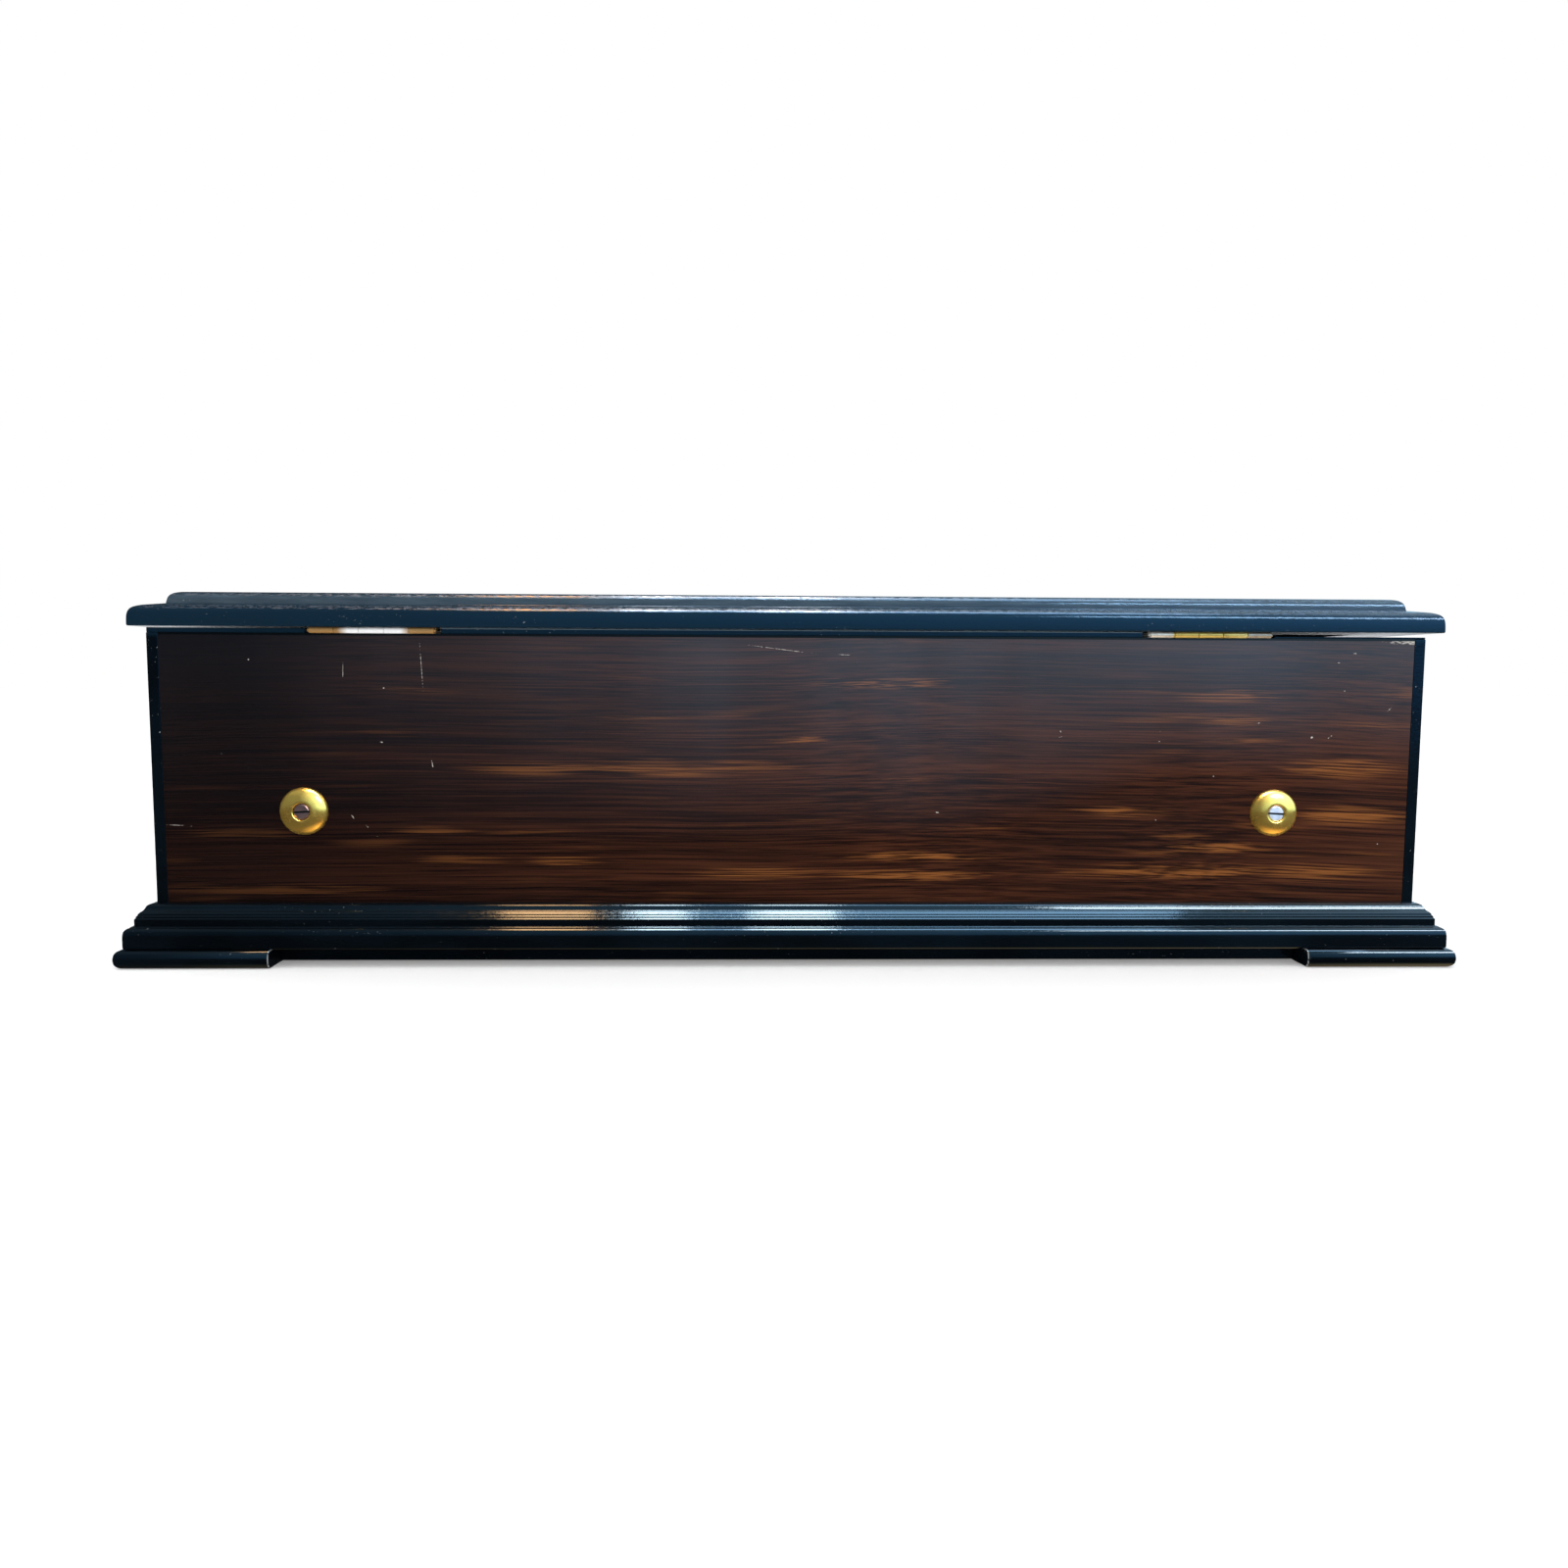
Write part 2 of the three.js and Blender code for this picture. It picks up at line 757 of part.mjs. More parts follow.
function buildMouldings() {
  const baseOutline = baseOutlineShares.map(
    ([out, up]) =>
      new THREE.Vector2(out * baseMouldingProjection, footHeight + up * baseMouldingHeight),
  );
  const lidOutline = lidOutlineShares.map(
    ([out, up]) =>
      new THREE.Vector2(
        out * lidMouldingWidth + lidProjection - lidMouldingWidth,
        lidBottom + up * lidThickness,
      ),
  );
  for (const side of Object.keys(sides)) {
    add(`base_moulding_${side}`, mitredLength(baseOutline, side), ebonised);
    add(`lid_moulding_${side}`, mitredLength(lidOutline, side), ebonised);
  }
  const panelInset = lidMouldingWidth - lidProjection;
  add(
    "lid_panel",
    block(
      [panelInset - halfLength, panelInset - halfDepth, lidTop - lidPanelThickness],
      [halfLength - panelInset, halfDepth - panelInset, lidTop],
    ),
    veneer,
  );
}

// Butt hinges. The lower leaf carries the pin, and the upper leaf's knuckles turn on it.
function buildHinges() {
  const axisY = halfDepth + hingeAxisBehindBack;
  const axisZ = bodyTop + lidGap / 2;
  const knuckleLength = hingeLength / hingeKnuckles;
  for (const [end, sign] of [
    ["left", -1],
    ["right", 1],
  ]) {
    const startX = (sign * hingeSpacing) / 2 - hingeLength / 2;
    const knuckleSpan = (index, gap) => [
      startX + index * knuckleLength + gap,
      startX + (index + 1) * knuckleLength - gap,
    ];
    const knuckles = (parity, radius, gap) =>
      Array.from({ length: hingeKnuckles }, (_, index) => index)
        .filter((index) => index % 2 === parity)
        .map((index) =>
          barAlongX([axisY, axisZ], radius, ...knuckleSpan(index, gap), smallRoundSides),
        );
    const notches = (parity) =>
      knuckles(parity, hingeKnuckleRadius + runningGap, -seatGap / 2);
    const leaf = (bottomZ) =>
      block(
        [startX, halfDepth - hingeLeafWidth, bottomZ],
        [startX + hingeLength, axisY, bottomZ + hingeLeafThickness],
      );
    const pin = barAlongX(
      [axisY, axisZ],
      hingePinRadius,
      startX - hingePinOverhang,
      startX + hingeLength + hingePinOverhang,
      smallRoundSides,
    );
    const pinBore = barAlongX(
      [axisY, axisZ],
      hingePinRadius + seatGap,
      startX - hingePinOverhang,
      startX + hingeLength + hingePinOverhang,
      smallRoundSides,
    );
    const lower = cut(leaf(bodyTop), ...notches(1));
    add(
      `lower_hinge_leaf_${end}`,
      join(lower, ...knuckles(0, hingeKnuckleRadius, seatGap / 2), pin),
      brass,
    );
    const upper = cut(leaf(lidBottom - hingeLeafThickness), ...notches(0));
    add(
      `upper_hinge_leaf_${end}`,
      cut(join(upper, ...knuckles(1, hingeKnuckleRadius, seatGap / 2)), pinBore),
      brass,
    );
  }
}

// Lock: an open-backed box on a selvedge, a bolt with two noses, and staples that hang from the lid
function buildLock() {
  const backY = -innerHalfDepth;
  const lockBottom = bodyTop - lockHeight;
  const stapleCentres = [-stapleSpacing / 2, stapleSpacing / 2];
  const stapleY = backY - lockPlateThickness - lockSlotClearance / 2 - stapleDepth;
  const stapleBottom = bodyTop - stapleDrop;
  const windowBottom = stapleBottom + stapleWallBelowWindow;
  const noseMiddleZ = windowBottom + stapleWindowHeight / 2;
  const boltY = stapleY + (stapleDepth - boltThickness) / 2;
  const barBottom = lockBottom + lockPlateThickness + seatGap;
  const slots = stapleCentres.map((x) =>
    block(
      [x - stapleThickness / 2 - lockSlotClearance, stapleY - lockSlotClearance, bodyTop - cutOverrun],
      [
        x + stapleThickness / 2 + lockSlotClearance,
        stapleY + stapleDepth + lockSlotClearance / 2,
        bodyTop + selvedgeThickness + cutOverrun,
      ],
    ),
  );
  const lockBox = cut(
    block(
      [-lockWidth / 2, backY - lockDepth, lockBottom],
      [lockWidth / 2, backY, bodyTop + selvedgeThickness],
    ),
    block(
      [
        lockPlateThickness - lockWidth / 2,
        backY - lockDepth - cutOverrun,
        lockBottom + lockPlateThickness,
      ],
      [lockWidth / 2 - lockPlateThickness, backY - lockPlateThickness, bodyTop],
    ),
  );
  const selvedge = block(
    [-selvedgeLength / 2, backY - selvedgeWidth, bodyTop],
    [selvedgeLength / 2, backY, bodyTop + selvedgeThickness],
  );
  add("lock_case", cut(join(lockBox, selvedge), ...slots), brass);

  // The bolt slides in the box: a bar under the staples, with posts whose noses enter them
  const postStarts = stapleCentres.map(
    (x) => x - stapleThickness / 2 - boltNoseGap - boltNoseLength,
  );
  const posts = postStarts.map((postX) => {
    const noseTip = postX + boltNoseLength;
    return join(
      block(
        [postX, boltY, barBottom],
        [postX + boltPostWidth, boltY + boltThickness, noseMiddleZ + boltNoseHeight / 2],
      ),
      block(
        [postX, boltY, noseMiddleZ - boltNoseHeight / 2],
        [noseTip, boltY + boltThickness, noseMiddleZ + boltNoseHeight / 2],
      ),
    );
  });
  const bar = block(
    [postStarts[0], boltY, barBottom],
    [postStarts[1] + boltPostWidth, boltY + boltThickness, barBottom + boltBarHeight],
  );
  add("lock_bolt", join(bar, ...posts), steel);

  const linkPlate = block(
    [-selvedgeLength / 2, backY - selvedgeWidth, lidBottom - selvedgeThickness],
    [selvedgeLength / 2, backY, lidBottom],
  );
  const staples = stapleCentres.map((x) =>
    cut(
      block(
        [x - stapleThickness / 2, stapleY, stapleBottom],
        [x + stapleThickness / 2, stapleY + stapleDepth, lidBottom],
      ),
      block(
        [x - stapleThickness, stapleY + (stapleDepth - stapleWindowDepth) / 2, windowBottom],
        [
          x + stapleThickness,
          stapleY + (stapleDepth + stapleWindowDepth) / 2,
          windowBottom + stapleWindowHeight,
        ],
      ),
    ),
  );
  add("lock_link_plate", join(linkPlate, ...staples), brass);

  const centreZ = bodyTop - keyholeBelowBodyTop;
  const oval = circlePoints([0, 0], 1).map(
    (point) =>
      new THREE.Vector2(
        (point.x * escutcheonWidth) / 2,
        centreZ - keyholeRadius / 2 + (point.y * escutcheonHeight) / 2,
      ),
  );
  add(
    "keyhole_escutcheon",
    cut(
      slabAlongY(oval, -halfDepth - escutcheonThickness, -halfDepth),
      keyholeCutter(-halfDepth - cutOverrun, -halfDepth + cutOverrun),
    ),
    brass,
  );
}

// Domed cup washers and slotted case screws, on the front and the back
function buildCaseScrews() {
  const headTop = washerHeight - screwHeadRecess;
  const headBottom = headTop - screwHeadThickness;
  const headHole = screwHeadRadius + seatGap;
  const shankHole = screwShankRadius + screwHoleClearance;
  const dome = washerDomeShares.map(
    ([out, up]) => new THREE.Vector2(out * washerRadius, up * washerHeight),
  );
  const washer = [
    new THREE.Vector2(shankHole, 0),
    new THREE.Vector2(washerRadius, 0),
    ...dome,
    new THREE.Vector2(headHole, washerHeight - washerEdge / 2),
    new THREE.Vector2(headHole, headBottom - seatGap),
    new THREE.Vector2(shankHole, headBottom - seatGap),
    new THREE.Vector2(shankHole, 0),
  ];
  const shankEnd = -(wallThickness + seatGap + screwGrip);
  const screw = [
    new THREE.Vector2(0, shankEnd),
    new THREE.Vector2(screwShankRadius, shankEnd),
    new THREE.Vector2(screwShankRadius, headBottom),
    new THREE.Vector2(screwHeadRadius, headBottom),
    new THREE.Vector2(screwHeadRadius, headTop),
    new THREE.Vector2(0, headTop),
  ];
  const slot = block(
    [-screwHeadRadius - cutOverrun, headTop - screwSlotDepth, -screwSlotWidth / 2],
    [screwHeadRadius + cutOverrun, headTop + cutOverrun, screwSlotWidth / 2],
  );
  const slottedScrew = cut(new THREE.LatheGeometry(screw, smallRoundSides), slot);
  for (const [face, turn, faceY] of [
    ["front", Math.PI, -halfDepth],
    ["back", 0, halfDepth],
  ]) {
    for (const [end, sign] of [
      ["left", -1],
      ["right", 1],
    ]) {
      const place = [(sign * caseScrewSpacing) / 2, faceY, caseScrewZ];
      const ring = add(
        `cup_washer_${face}_${end}`,
        new THREE.LatheGeometry(washer, ringSides),
        brass,
      );
      ring.position.set(...place);
      ring.rotation.z = turn;
      const bolt = add(`case_screw_${face}_${end}`, slottedScrew.clone(), steel);
      bolt.position.set(...place);
      bolt.rotation.z = turn;
    }
  }
}

function buildBedplate() {
  const halfBed = bedplateLength / 2;
  const halfBedDepth = innerHalfDepth - seatGap;
  const holeRadius = screwShankRadius + runningGap;
  const screwHoles = [-1, 1].flatMap((side) =>
    [-1, 1].map((face) =>
      barAlongY(
        [(side * caseScrewSpacing) / 2, caseScrewZ],
        holeRadius,
        Math.min(face * (halfBedDepth + cutOverrun), face * (halfBedDepth - screwGrip - cutOverrun)),
        Math.max(face * (halfBedDepth + cutOverrun), face * (halfBedDepth - screwGrip - cutOverrun)),
        smallRoundSides,
      ),
    ),
  );
  const barrelWell = block(
    [
      barrelStartX - cutOverrun,
      barrelAxisY - barrelWheelRadius + barrelDrop / 2,
      bedplateBottom - cutOverrun,
    ],
    [
      barrelWheelStartX + barrelWheelWidth + cutOverrun,
      barrelAxisY + barrelWheelRadius - barrelDrop / 2,
      bedplateTop + cutOverrun,
    ],
  );
  add(
    "bedplate",
    cut(
      block([-halfBed, -halfBedDepth, bedplateBottom], [halfBed, halfBedDepth, bedplateTop]),
      barrelWell,
      ...screwHoles,
    ),
    gildedBrass,
  );
}

// A bracket plate with a rounded head over each arbor, standing on a wider foot
function bracket(startX, arbors) {
  const endX = startX + bracketThickness;
  const middleX = (startX + endX) / 2;
  const heads = arbors.map(({ centre }) => {
    const [y, z] = centre;
    const arc = arcPoints(centre, bracketMargin, 0, 180, roundSides / 3);
    return slabAlongX(
      [
        new THREE.Vector2(y - bracketMargin, bedplateTop),
        new THREE.Vector2(y + bracketMargin, bedplateTop),
        ...arc,
      ],
      startX,
      endX,
    );
  });
  const lowY = Math.min(...arbors.map(({ centre }) => centre[0])) - bracketMargin;
  const highY = Math.max(...arbors.map(({ centre }) => centre[0])) + bracketMargin;
  const lowestZ = Math.min(...arbors.map(({ centre }) => centre[1]));
  const web = block([startX, lowY, bedplateTop], [endX, highY, lowestZ]);
  const foot = block(
    [middleX - bracketFootWidth / 2, lowY, bedplateTop],
    [middleX + bracketFootWidth / 2, highY, bedplateTop + bracketFootHeight],
  );
  const bores = arbors.map(({ centre, radius }) =>
    barAlongX(centre, radius + runningGap, startX - cutOverrun, endX + cutOverrun, smallRoundSides),
  );
  return cut(join(web, foot, ...heads), ...bores);
}

function buildBrackets() {
  const barrelArbor = { centre: barrelCentre, radius: arborRadius };
  const cylinderArbor = { centre: cylinderCentre, radius: cylinderArborRadius };
  const click = clickPlace();
  const earHalf = clickHubRadius + clickStudRadius;
  const clickEar = join(
    slabAlongX(
      circlePoints(click.pivot, earHalf, smallRoundSides),
      barrelBracketStartX,
      barrelBracketStartX + bracketThickness,
    ),
    slabAlongX(
      armPoints(barrelCentre, click.pivot, bracketMargin, earHalf),
      barrelBracketStartX,
      barrelBracketStartX + bracketThickness,
    ),
  );
  const clickBore = barAlongX(
    click.pivot,
    clickStudRadius + runningGap,
    barrelBracketStartX - cutOverrun,
    barrelBracketStartX + bracketThickness + cutOverrun,
    smallRoundSides,
  );
  const arborBore = barAlongX(
    barrelCentre,
    arborRadius + runningGap,
    barrelBracketStartX - cutOverrun,
    barrelBracketStartX + bracketThickness + cutOverrun,
    smallRoundSides,
  );
  const footReliefEnd = barrelBracketStartX + bracketThickness / 2 + bracketFootWidth;
  const footRelief = block(
    [
      barrelBracketStartX + bracketThickness,
      barrelAxisY - barrelWheelRadius,
      bedplateTop - cutOverrun,
    ],
    [footReliefEnd, barrelAxisY + barrelWheelRadius, bedplateTop + bracketFootHeight + cutOverrun],
  );
  add(
    "barrel_bracket",
    cut(
      join(bracket(barrelBracketStartX, [barrelArbor]), clickEar),
      clickBore,
      arborBore,
      footRelief,
    ),
    brass,
  );
  add("middle_bracket", bracket(middleBracketStartX, [cylinderArbor, barrelArbor]), brass);
  add("cylinder_bracket", bracket(endBracketStartX, [cylinderArbor]), brass);
}

// Where the click pivots, over the ratchet wheel, and where its nose rests on a tooth's crest
function clickPlace() {
  const pivot = [barrelAxisY + clickPivotBack, barrelAxisZ + clickPivotRise];
  const reach = ratchetRadius + seatGap + clickNoseWidth / 2;
  const nose = [
    barrelAxisY + reach * Math.cos(rad(clickNoseAngle)),
    barrelAxisZ + reach * Math.sin(rad(clickNoseAngle)),
  ];
  return { pivot, nose };
}

function buildWinding() {
  // Barrel: a drum with a hollow for its spring, and the great wheel on its right-hand end
  const bore = arborRadius + runningGap;
  const wheelEndX = barrelWheelStartX + barrelWheelWidth;
  const drumEndX = barrelStartX + barrelLength;
  const drum = turnedAlongX(
    [
      [bore, barrelStartX],
      [barrelRadius, barrelStartX],
      [barrelRadius, drumEndX],
      [barrelRadius - barrelWall, barrelWheelStartX],
      [bore, barrelWheelStartX],
      [bore, drumEndX - barrelWall],
      [barrelRadius - barrelWall, drumEndX - barrelWall],
      [barrelRadius - barrelWall, barrelStartX + barrelWall],
      [bore, barrelStartX + barrelWall],
      [bore, barrelStartX],
    ],
    barrelCentre,
  );
  const greatWheel = slabAlongX(
    gearPoints(barrelCentre, barrelWheelTeeth, barrelModule, barrelPhase),
    barrelWheelStartX,
    wheelEndX,
    [circlePoints(barrelCentre, bore)],
  );
  add("spring_barrel", join(drum, greatWheel), brass);

  const saw = Array.from({ length: ratchetTeeth }, (_, tooth) => {
    const pitch = 360 / ratchetTeeth;
    const point = (radius, angle) =>
      new THREE.Vector2(
        barrelAxisY + radius * Math.cos(rad(angle)),
        barrelAxisZ + radius * Math.sin(rad(angle)),
      );
    return [
      point(ratchetRadius - ratchetToothDepth, tooth * pitch),
      point(ratchetRadius, tooth * pitch),
    ];
  }).flat();
  add(
    "winding_arbor",
    join(
      barAlongX(
        barrelCentre,
        arborRadius,
        leverStartX + leverThickness / 2 - leverHubLength / 2,
        middleBracketStartX + bracketThickness,
      ),
      slabAlongX(saw, ratchetStartX, ratchetStartX + ratchetWidth),
    ),
    steel,
  );

  // Lever: a hub, a tapering arm and a turned knob, lying low at rest with its tip to the front
  const leverMiddleX = leverStartX + leverThickness / 2;
  const direction = rad(180 + leverRestAngle);
  const tip = [
    barrelAxisY + leverReach * Math.cos(direction),
    barrelAxisZ + leverReach * Math.sin(direction),
  ];
  const arm = slabAlongX(
    armPoints(barrelCentre, tip, leverRootWidth / 2, leverTipWidth / 2),
    leverStartX,
    leverStartX + leverThickness,
  );
  const hubStartX = leverMiddleX - leverHubLength / 2;
  const hub = barAlongX(barrelCentre, leverHubRadius, hubStartX, hubStartX + leverHubLength);
  const knobStartX = leverStartX - leverKnobLength;
  const knob = barAlongX(tip, leverKnobRadius, knobStartX, leverStartX + leverThickness);
  const leverBore = barAlongX(
    barrelCentre,
    arborRadius + runningGap,
    hubStartX - cutOverrun,
    hubStartX + leverHubLength + cutOverrun,
  );
  add("winding_lever", cut(join(arm, hub, knob), leverBore), steel);

  const { pivot, nose } = clickPlace();
  const clickArm = slabAlongX(
    armPoints(pivot, nose, clickHubRadius, clickNoseWidth / 2),
    ratchetStartX,
    ratchetStartX + clickThickness,
  );
  add(
    "click",
    join(
      clickArm,
      barAlongX(pivot, clickHubRadius, ratchetStartX, barrelBracketStartX - seatGap, smallRoundSides),
      barAlongX(
        pivot,
        clickStudRadius,
        ratchetStartX,
        barrelBracketStartX + bracketThickness,
        smallRoundSides,
      ),
    ),
    steel,
  );
}

function buildCylinder() {
  const bore = cylinderArborRadius + runningGap;
  const endX = cylinderEndX;
  const inner = cylinderRadius - cylinderWall;
  add(
    "cylinder",
    turnedAlongX(
      [
        [bore, cylinderStartX],
        [cylinderRadius, cylinderStartX],
        [cylinderRadius, endX],
        [bore, endX],
        [bore, endX - cylinderCap],
        [inner, endX - cylinderCap],
        [inner, cylinderStartX + cylinderCap],
        [bore, cylinderStartX + cylinderCap],
        [bore, cylinderStartX],
      ],
      cylinderCentre,
    ),
    gildedBrass,
  );
  add(
    "cylinder_arbor",
    join(
      barAlongX(
        cylinderCentre,
        cylinderArborRadius,
        cylinderArborStartX,
        cylinderArborEndX,
        smallRoundSides,
      ),
      slabAlongX(
        gearPoints(cylinderCentre, barrelPinionTeeth, barrelModule, pinionPhase),
        pinionStartX,
        pinionStartX + pinionWidth,
      ),
      slabAlongX(
        gearPoints(cylinderCentre, cylinderWheelTeeth, cylinderWheelModule, cylinderPhase),
        cylinderWheelStartX,
        cylinderWheelStartX + cylinderWheelWidth,
      ),
    ),
    steel,
  );
}

// Comb: one steel plate, its teeth longest in the bass at the left, on a brass block
function buildComb() {
  const tipY = cylinderAxisY - cylinderRadius - combTipGap;
  const backY = combWallGap - innerHalfDepth;
  const startX = cylinderStartX + (cylinderLength - combLength) / 2;
  const endX = startX + combLength;
  const pitch = combLength / combTeeth;
  const bottomZ = cylinderAxisZ - combThickness / 2;
  const rootAt = (x) => {
    const share = (x - startX) / combLength;
    return tipY - combBassTooth + (combBassTooth - combTrebleTooth) * share;
  };
  const outline = [
    new THREE.Vector2(startX - combMargin, backY),
    new THREE.Vector2(endX + combMargin, backY),
    new THREE.Vector2(endX + combMargin, rootAt(endX)),
  ];
  for (let tooth = combTeeth - 1; tooth >= 0; tooth -= 1) {
    const right = startX + (tooth + 1) * pitch - combSlot / 2;
    const left = startX + tooth * pitch + combSlot / 2;
    outline.push(
      new THREE.Vector2(right, rootAt(right)),
      new THREE.Vector2(right, tipY),
      new THREE.Vector2(left, tipY),
      new THREE.Vector2(left, rootAt(left)),
    );
  }
  outline.push(new THREE.Vector2(startX - combMargin, rootAt(startX)));
  add("comb", slabAlongZ(outline, bottomZ, bottomZ + combThickness), steel);
  add(
    "comb_base",
    block(
      [startX - combMargin, backY, bedplateTop],
      [endX + combMargin, backY + combBaseDepth, bottomZ],
    ),
    brass,
  );
}

function buildGovernor() {
  const plateEnds = [governorPlateLeftX, governorPlateRightX];
  const arborEndX = governorPlateRightX + governorPlateThickness;
  add(
    "governor_wheel",
    join(
      barAlongX(
        governorCentre,
        governorArborRadius,
        governorPinionStartX,
        arborEndX,
        smallRoundSides,
      ),
      slabAlongX(
        gearPoints(governorCentre, governorPinionTeeth, cylinderWheelModule, governorPhase),
        governorPinionStartX,
        governorPinionStartX + governorPinionWidth,
      ),
      slabAlongX(
        gearPoints(governorCentre, governorWheelTeeth, governorModule, governorWheelPhase),
        governorWheelStartX,
        governorWheelStartX + governorWheelWidth,
      ),
    ),
    brass,
  );
  // The worm wheel has a tooth level with the screw's axis at rest
  add(
    "worm_wheel",
    join(
      barAlongX(
        wormWheelCentre,
        governorArborRadius,
        governorPlateLeftX,
        arborEndX,
        smallRoundSides,
      ),
      slabAlongX(
        gearPoints(wormWheelCentre, wormPinionTeeth, governorModule, wormPinionPhase),
        wormPinionStartX,
        wormPinionStartX + wormPinionWidth,
      ),
      slabAlongX(
        gearPoints(wormWheelCentre, wormWheelTeeth, governorModule, 0, wormWheelDedendumShare),
        wormWheelStartX,
        wormWheelStartX + wormWheelWidth,
      ),
    ),
    brass,
  );
  buildEndlessScrew();

  // Frame: two plates on a base, with an arm below and above for the screw's pivots
  const lowY = governorAxisY - governorPlateMargin;
  const highY = wormAxisY + governorPlateMargin;
  const plateTop = wormWheelAxisZ + governorPlateMargin;
  const armDepth = governorPlateMargin;
  const armStartX = wormAxisX - armDepth / 2;
  const plates = plateEnds.map((x, index) =>
    block(
      [x, lowY, bedplateTop],
      [
        x + governorPlateThickness,
        highY,
        index ? wormUpperPivotZ + governorPlateThickness : plateTop,
      ],
    ),
  );
  const arms = [wormLowerPivotZ, wormUpperPivotZ].map((z) =>
    block(
      [armStartX, wormAxisY - armDepth / 2, z],
      [arborEndX, wormAxisY + armDepth / 2, z + governorPlateThickness],
    ),
  );
  const base = block(
    [governorPlateLeftX, lowY, bedplateTop],
    [arborEndX, highY, bedplateTop + governorBaseHeight],
  );
  const bores = [governorCentre, wormWheelCentre].map((centre) =>
    barAlongX(
      centre,
      governorArborRadius + runningGap,
      governorPlateLeftX - cutOverrun,
      arborEndX + cutOverrun,
      smallRoundSides,
    ),
  );
  const pivotBore = slabAlongZ(
    circlePoints([wormAxisX, wormAxisY], governorArborRadius + runningGap, smallRoundSides),
    wormLowerPivotZ - cutOverrun,
    wormUpperPivotZ + governorPlateThickness + cutOverrun,
  );
  add("governor_frame", cut(join(base, ...plates, ...arms), ...bores, pivotBore), brass);
}

// Endless screw: a shaft with one helical thread beside the worm wheel, and two fan wings above
function buildEndlessScrew() {
  const rings = wormTurns * wormRingsPerTurn;
  const angles = Array.from(
    { length: smallRoundSides },
    (_, side) => (2 * Math.PI * side) / smallRoundSides,
  );
  const loops = Array.from({ length: rings + 1 }, (_, ring) => {
    const turns = ring / wormRingsPerTurn - wormTurns / 2;
    return angles.map((angle) => {
      // The thread stands half a turn off at the wheel's side, where a tooth is in the groove
      const turnsOff = turns - angle / (2 * Math.PI) - 3 / 4;
      const share = Math.abs(turnsOff - Math.round(turnsOff));
      const fall = THREE.MathUtils.clamp((share - wormCrestShare) / wormFlankShare, 0, 1);
      const radius = THREE.MathUtils.lerp(wormThreadRadius, wormCoreRadius, fall);
      return new THREE.Vector3(
        wormAxisX + radius * Math.cos(angle),
        wormAxisY + radius * Math.sin(angle),
        wormWheelAxisZ + turns * wormPitch,
      );
    });
  });
  const thread = loft(
    angles.map((angle) => new THREE.Vector2(Math.cos(angle), Math.sin(angle))),
    loops,
  );
  const shaft = slabAlongZ(
    circlePoints([wormAxisX, wormAxisY], governorArborRadius, smallRoundSides),
    wormLowerPivotZ + governorPlateThickness - wormPivotDepth,
    wormUpperPivotZ + wormPivotDepth,
  );
  const fanBottom = wormWheelAxisZ + fanRise;
  const fan = block(
    [wormAxisX - fanRadius, wormAxisY - fanThickness / 2, fanBottom],
    [wormAxisX + fanRadius, wormAxisY + fanThickness / 2, fanBottom + fanHeight],
  );
  add("endless_screw", join(shaft, thread, fan), steel);
}

// Start and change levers, each on a stud in the right partition, leaning on its front stop
function buildControls() {
  for (const [name, pivotY] of [
    ["start_lever", startLeverY],
    ["change_lever", changeLeverY],
  ]) {
    const lean = rad(90 + controlLean);
    const pivot = [pivotY, controlPivotZ];
    const knob = [
      pivotY + controlReach * Math.cos(lean),
      controlPivotZ + controlReach * Math.sin(lean),
    ];
    const endX = controlStartX + controlThickness;
    const arm = slabAlongX(
      armPoints(pivot, knob, controlWidth / 2, controlWidth / 3),
      controlStartX,
      endX,
    );
    add(
      name,
      join(
        arm,
        barAlongX(pivot, controlWidth / 2, controlStartX, endX, smallRoundSides),
        barAlongX(knob, controlKnobRadius, controlStartX, endX + controlThickness),
        barAlongX(pivot, controlStudRadius, rightPartitionX, endX, smallRoundSides),
      ),
      brass,
    );
  }
}

// Glass lid: a rebated frame lying on the partitions, with its pane on the ledge
function buildGlassLid() {
  const lowX = leftPartitionX;
  const highX = rightPartitionX + partitionThickness;
  const halfY = innerHalfDepth - glassFrameSideGap;
  const opening = (inset, bottomZ, topZ) =>
    block([lowX + inset, inset - halfY, bottomZ], [highX - inset, halfY - inset, topZ]);
  const ledgeTop = glassFrameBottom + glassLedge;
  add(
    "glass_frame",
    cut(
      opening(0, glassFrameBottom, glassFrameTop),
      opening(glassFrameRail, glassFrameBottom - cutOverrun, glassFrameTop + cutOverrun),
      opening(glassFrameRail - glassRebate, ledgeTop, glassFrameTop + cutOverrun),
    ),
    ebonised,
  );
  add(
    "glass_pane",
    opening(glassFrameRail - glassRebate + seatGap, ledgeTop, ledgeTop + glassThickness),
    clearGlass,
  );
}

buildCarcass();
buildMouldings();
buildHinges();
buildLock();
buildCaseScrews();
buildBedplate();
buildBrackets();
buildWinding();
buildCylinder();
buildComb();
buildGovernor();
buildControls();
buildGlassLid();

export default musicBox;
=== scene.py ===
"""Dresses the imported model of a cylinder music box: a rosewood case with ebonised mouldings, its brass
fittings and the movement inside. Lengths in the constants are millimetres; Blender works in metres."""

import functools
import json
import math
import random

import bmesh
import bpy
from mathutils import Matrix, Vector


